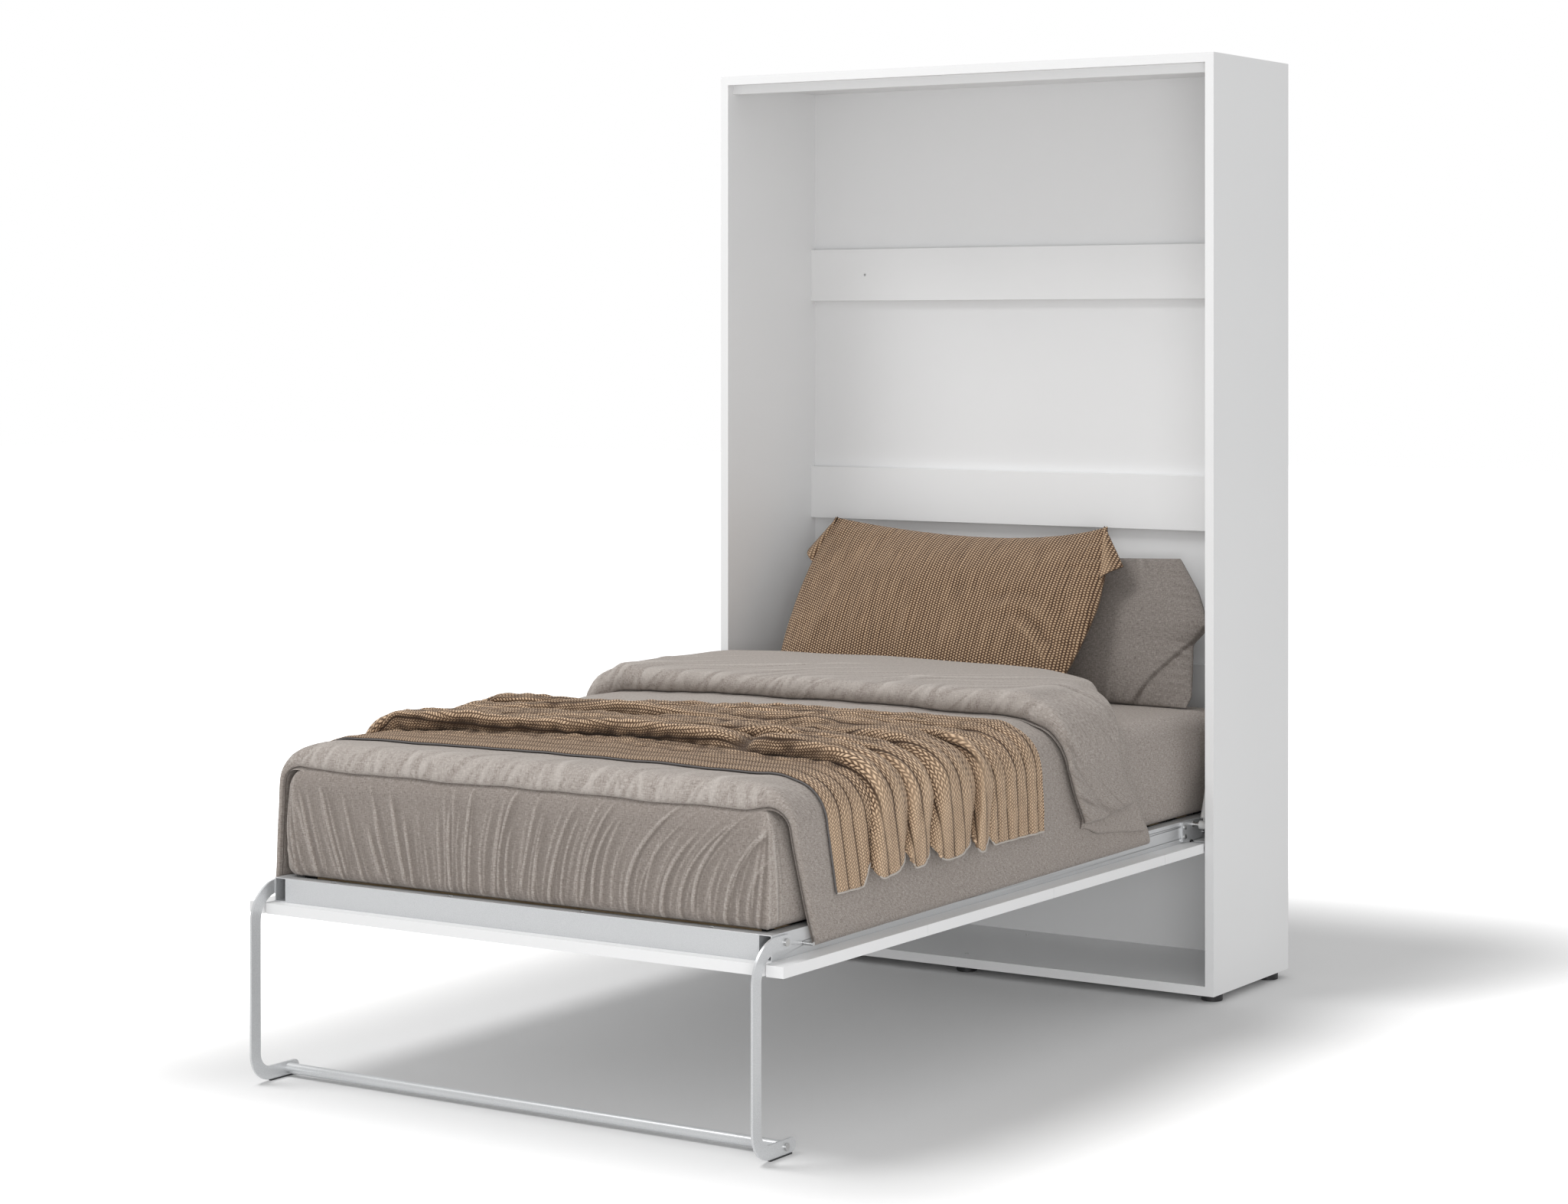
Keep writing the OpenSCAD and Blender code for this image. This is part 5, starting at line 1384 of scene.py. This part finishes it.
def pillow_ear(name, corner, tip, root, stand):
    """The empty corner of a case, folded down from its top corner: a small cone of cloth."""
    s, t = np.meshgrid(np.linspace(0.02, 1, 26), np.linspace(0, 1, 22), indexing="ij")
    corner, tip, root = (np.array(point) for point in (corner, tip, root))
    way = (root - corner) * (1 - t[..., None]) + (tip - corner) * t[..., None]
    place = corner + s[..., None] * way
    sag = -8 * MM * np.sin(math.pi * t) * s
    depth = s * (16 * MM * np.sin(math.pi * t) - 14 * MM * t) + 5 * MM
    # Painted highlight across the middle of the ear's face and painted shade along its folded root
    painted_light = 0.7 * np.sin(math.pi * np.clip(t * 1.2, 0, 1)) - 0.5 * ridge(t, 0.12)
    x, y = place[..., 0], place[..., 1] + sag
    return two_faces(name, x, y, depth + 2 * MM, depth - 1.5 * MM, stand, painted_light)


def front_pillow():
    """The brown pillow: convex sides, a sagging top between two folded ears, wrinkles low on the right."""
    low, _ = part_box("front_pillow")
    stand = leaning(degrees=35, place_x=-120 * MM, low_u=FRONT_Y - low.y - 40 * MM)
    a, b = pillow_grid(230, 160)
    half, height, sag = 392 * MM, 508 * MM, 44 * MM
    x = half * a * (1 + 0.07 * (1 - b ** 2))
    x = x + smooth(0, 1, a) * np.interp(b, (-1, -0.5, 0.1, 0.6, 1), (-16, 0, 15, 13, 0)) * MM
    y = height / 2 * (b + 1) - sag * (1 - a ** 2) ** 0.8 * smooth(-0.2, 1, b) * (1 + 0.35 * a)
    full = fullness(a, b, 67 * MM, 61)
    folds = sum(height * MM * stroke(x, y, line, width * MM) for height, width, line in FRONT_FOLDS)
    drape = creases(x, y - 0.05, (-0.38, 0.38, 0.07), 62, (0.20, 0.45), (0.8, 2.4), (9, 20), lean=0.10,
                    wander=0.15)
    relief = case_relief(a, b, folds + drape, full, 64)
    # The front face gets painted highlights on the crests of its folds and painted shade in their hollows
    case = two_faces("front_pillow_case", x, y, PILLOW_SEAM + full + relief, -PILLOW_SEAM - full, stand,
                     crests(relief, 5 * MM, 14))
    right = pillow_ear("ear_right", (half - 6 * MM, height), (half + 72 * MM, height - 106 * MM),
                       (half + 20 * MM, height - 160 * MM), stand)
    left = pillow_ear("ear_left", (10 * MM - half, height), (-half - 52 * MM, height - 92 * MM),
                      (-half - 16 * MM, height - 140 * MM), stand)
    piece = join("front_pillow_case", [case, right, left])
    declare(piece, "brown_weave", "front_pillow", keep=PILLOW_CLOSED)


def rear_pillow():
    """The linen pillow behind: its top right corner droops to a point, and its flap ends in a step with a
    painted shadow line along it.
    """
    low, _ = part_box("rear_pillow")
    stand = leaning(degrees=28, place_x=191 * MM, low_u=FRONT_Y - low.y + 2 * MM)
    a, b = pillow_grid(220, 150)
    y = REAR_UP[-1] / 2 * (b + 1)
    edge = soften(np.interp(y, REAR_UP, REAR_EDGE), 3, 1)
    x = blend(REAR_LEFT, edge, (a + 1) / 2)
    y = y - 7 * MM * np.sin(math.pi * np.clip((a + 1) / 2, 0, 1)) * smooth(0, 1, b)
    full = fullness(a, b, 52 * MM, 71)
    across = (x - 0.236) * 0.79 - (y - 0.030) * 0.61
    flap = 6 * MM * (1 - smooth(-1.5 * MM, 1.5 * MM, across))
    drape = creases(-y, x + 0.3, (-0.36, -0.04, 0.06), 72, (0.25, 0.60), (0.8, 2.2), (9, 18), lean=0.2,
                    wander=0.3)
    relief = case_relief(a, b, drape, full, 74)
    droop = 16 * MM * ridge(np.hypot(x - 0.36, y - 0.21), 0.07)
    # Painted highlights on the crests of the folds, painted shade in their hollows, and a painted shadow
    # along the flap's edge
    painted_light = np.clip(crests(relief, 2.5 * MM, 14) - ridge(across - 1 * MM, 2.5 * MM), -1, 1)
    piece = two_faces("rear_pillow_case", x, y, PILLOW_SEAM + full + relief + flap + droop,
                      droop - PILLOW_SEAM - full, stand, painted_light)
    # The case wears the linen darkened all over as painted shade
    declare(piece, "linen_cloth", "rear_pillow", keep=PILLOW_CLOSED, finish="linen_painted_shade")


for build in (finish_cad, camera, lights, floor, mattress, fitted_sheet, duvet, throw, front_pillow,
              rear_pillow):
    build()
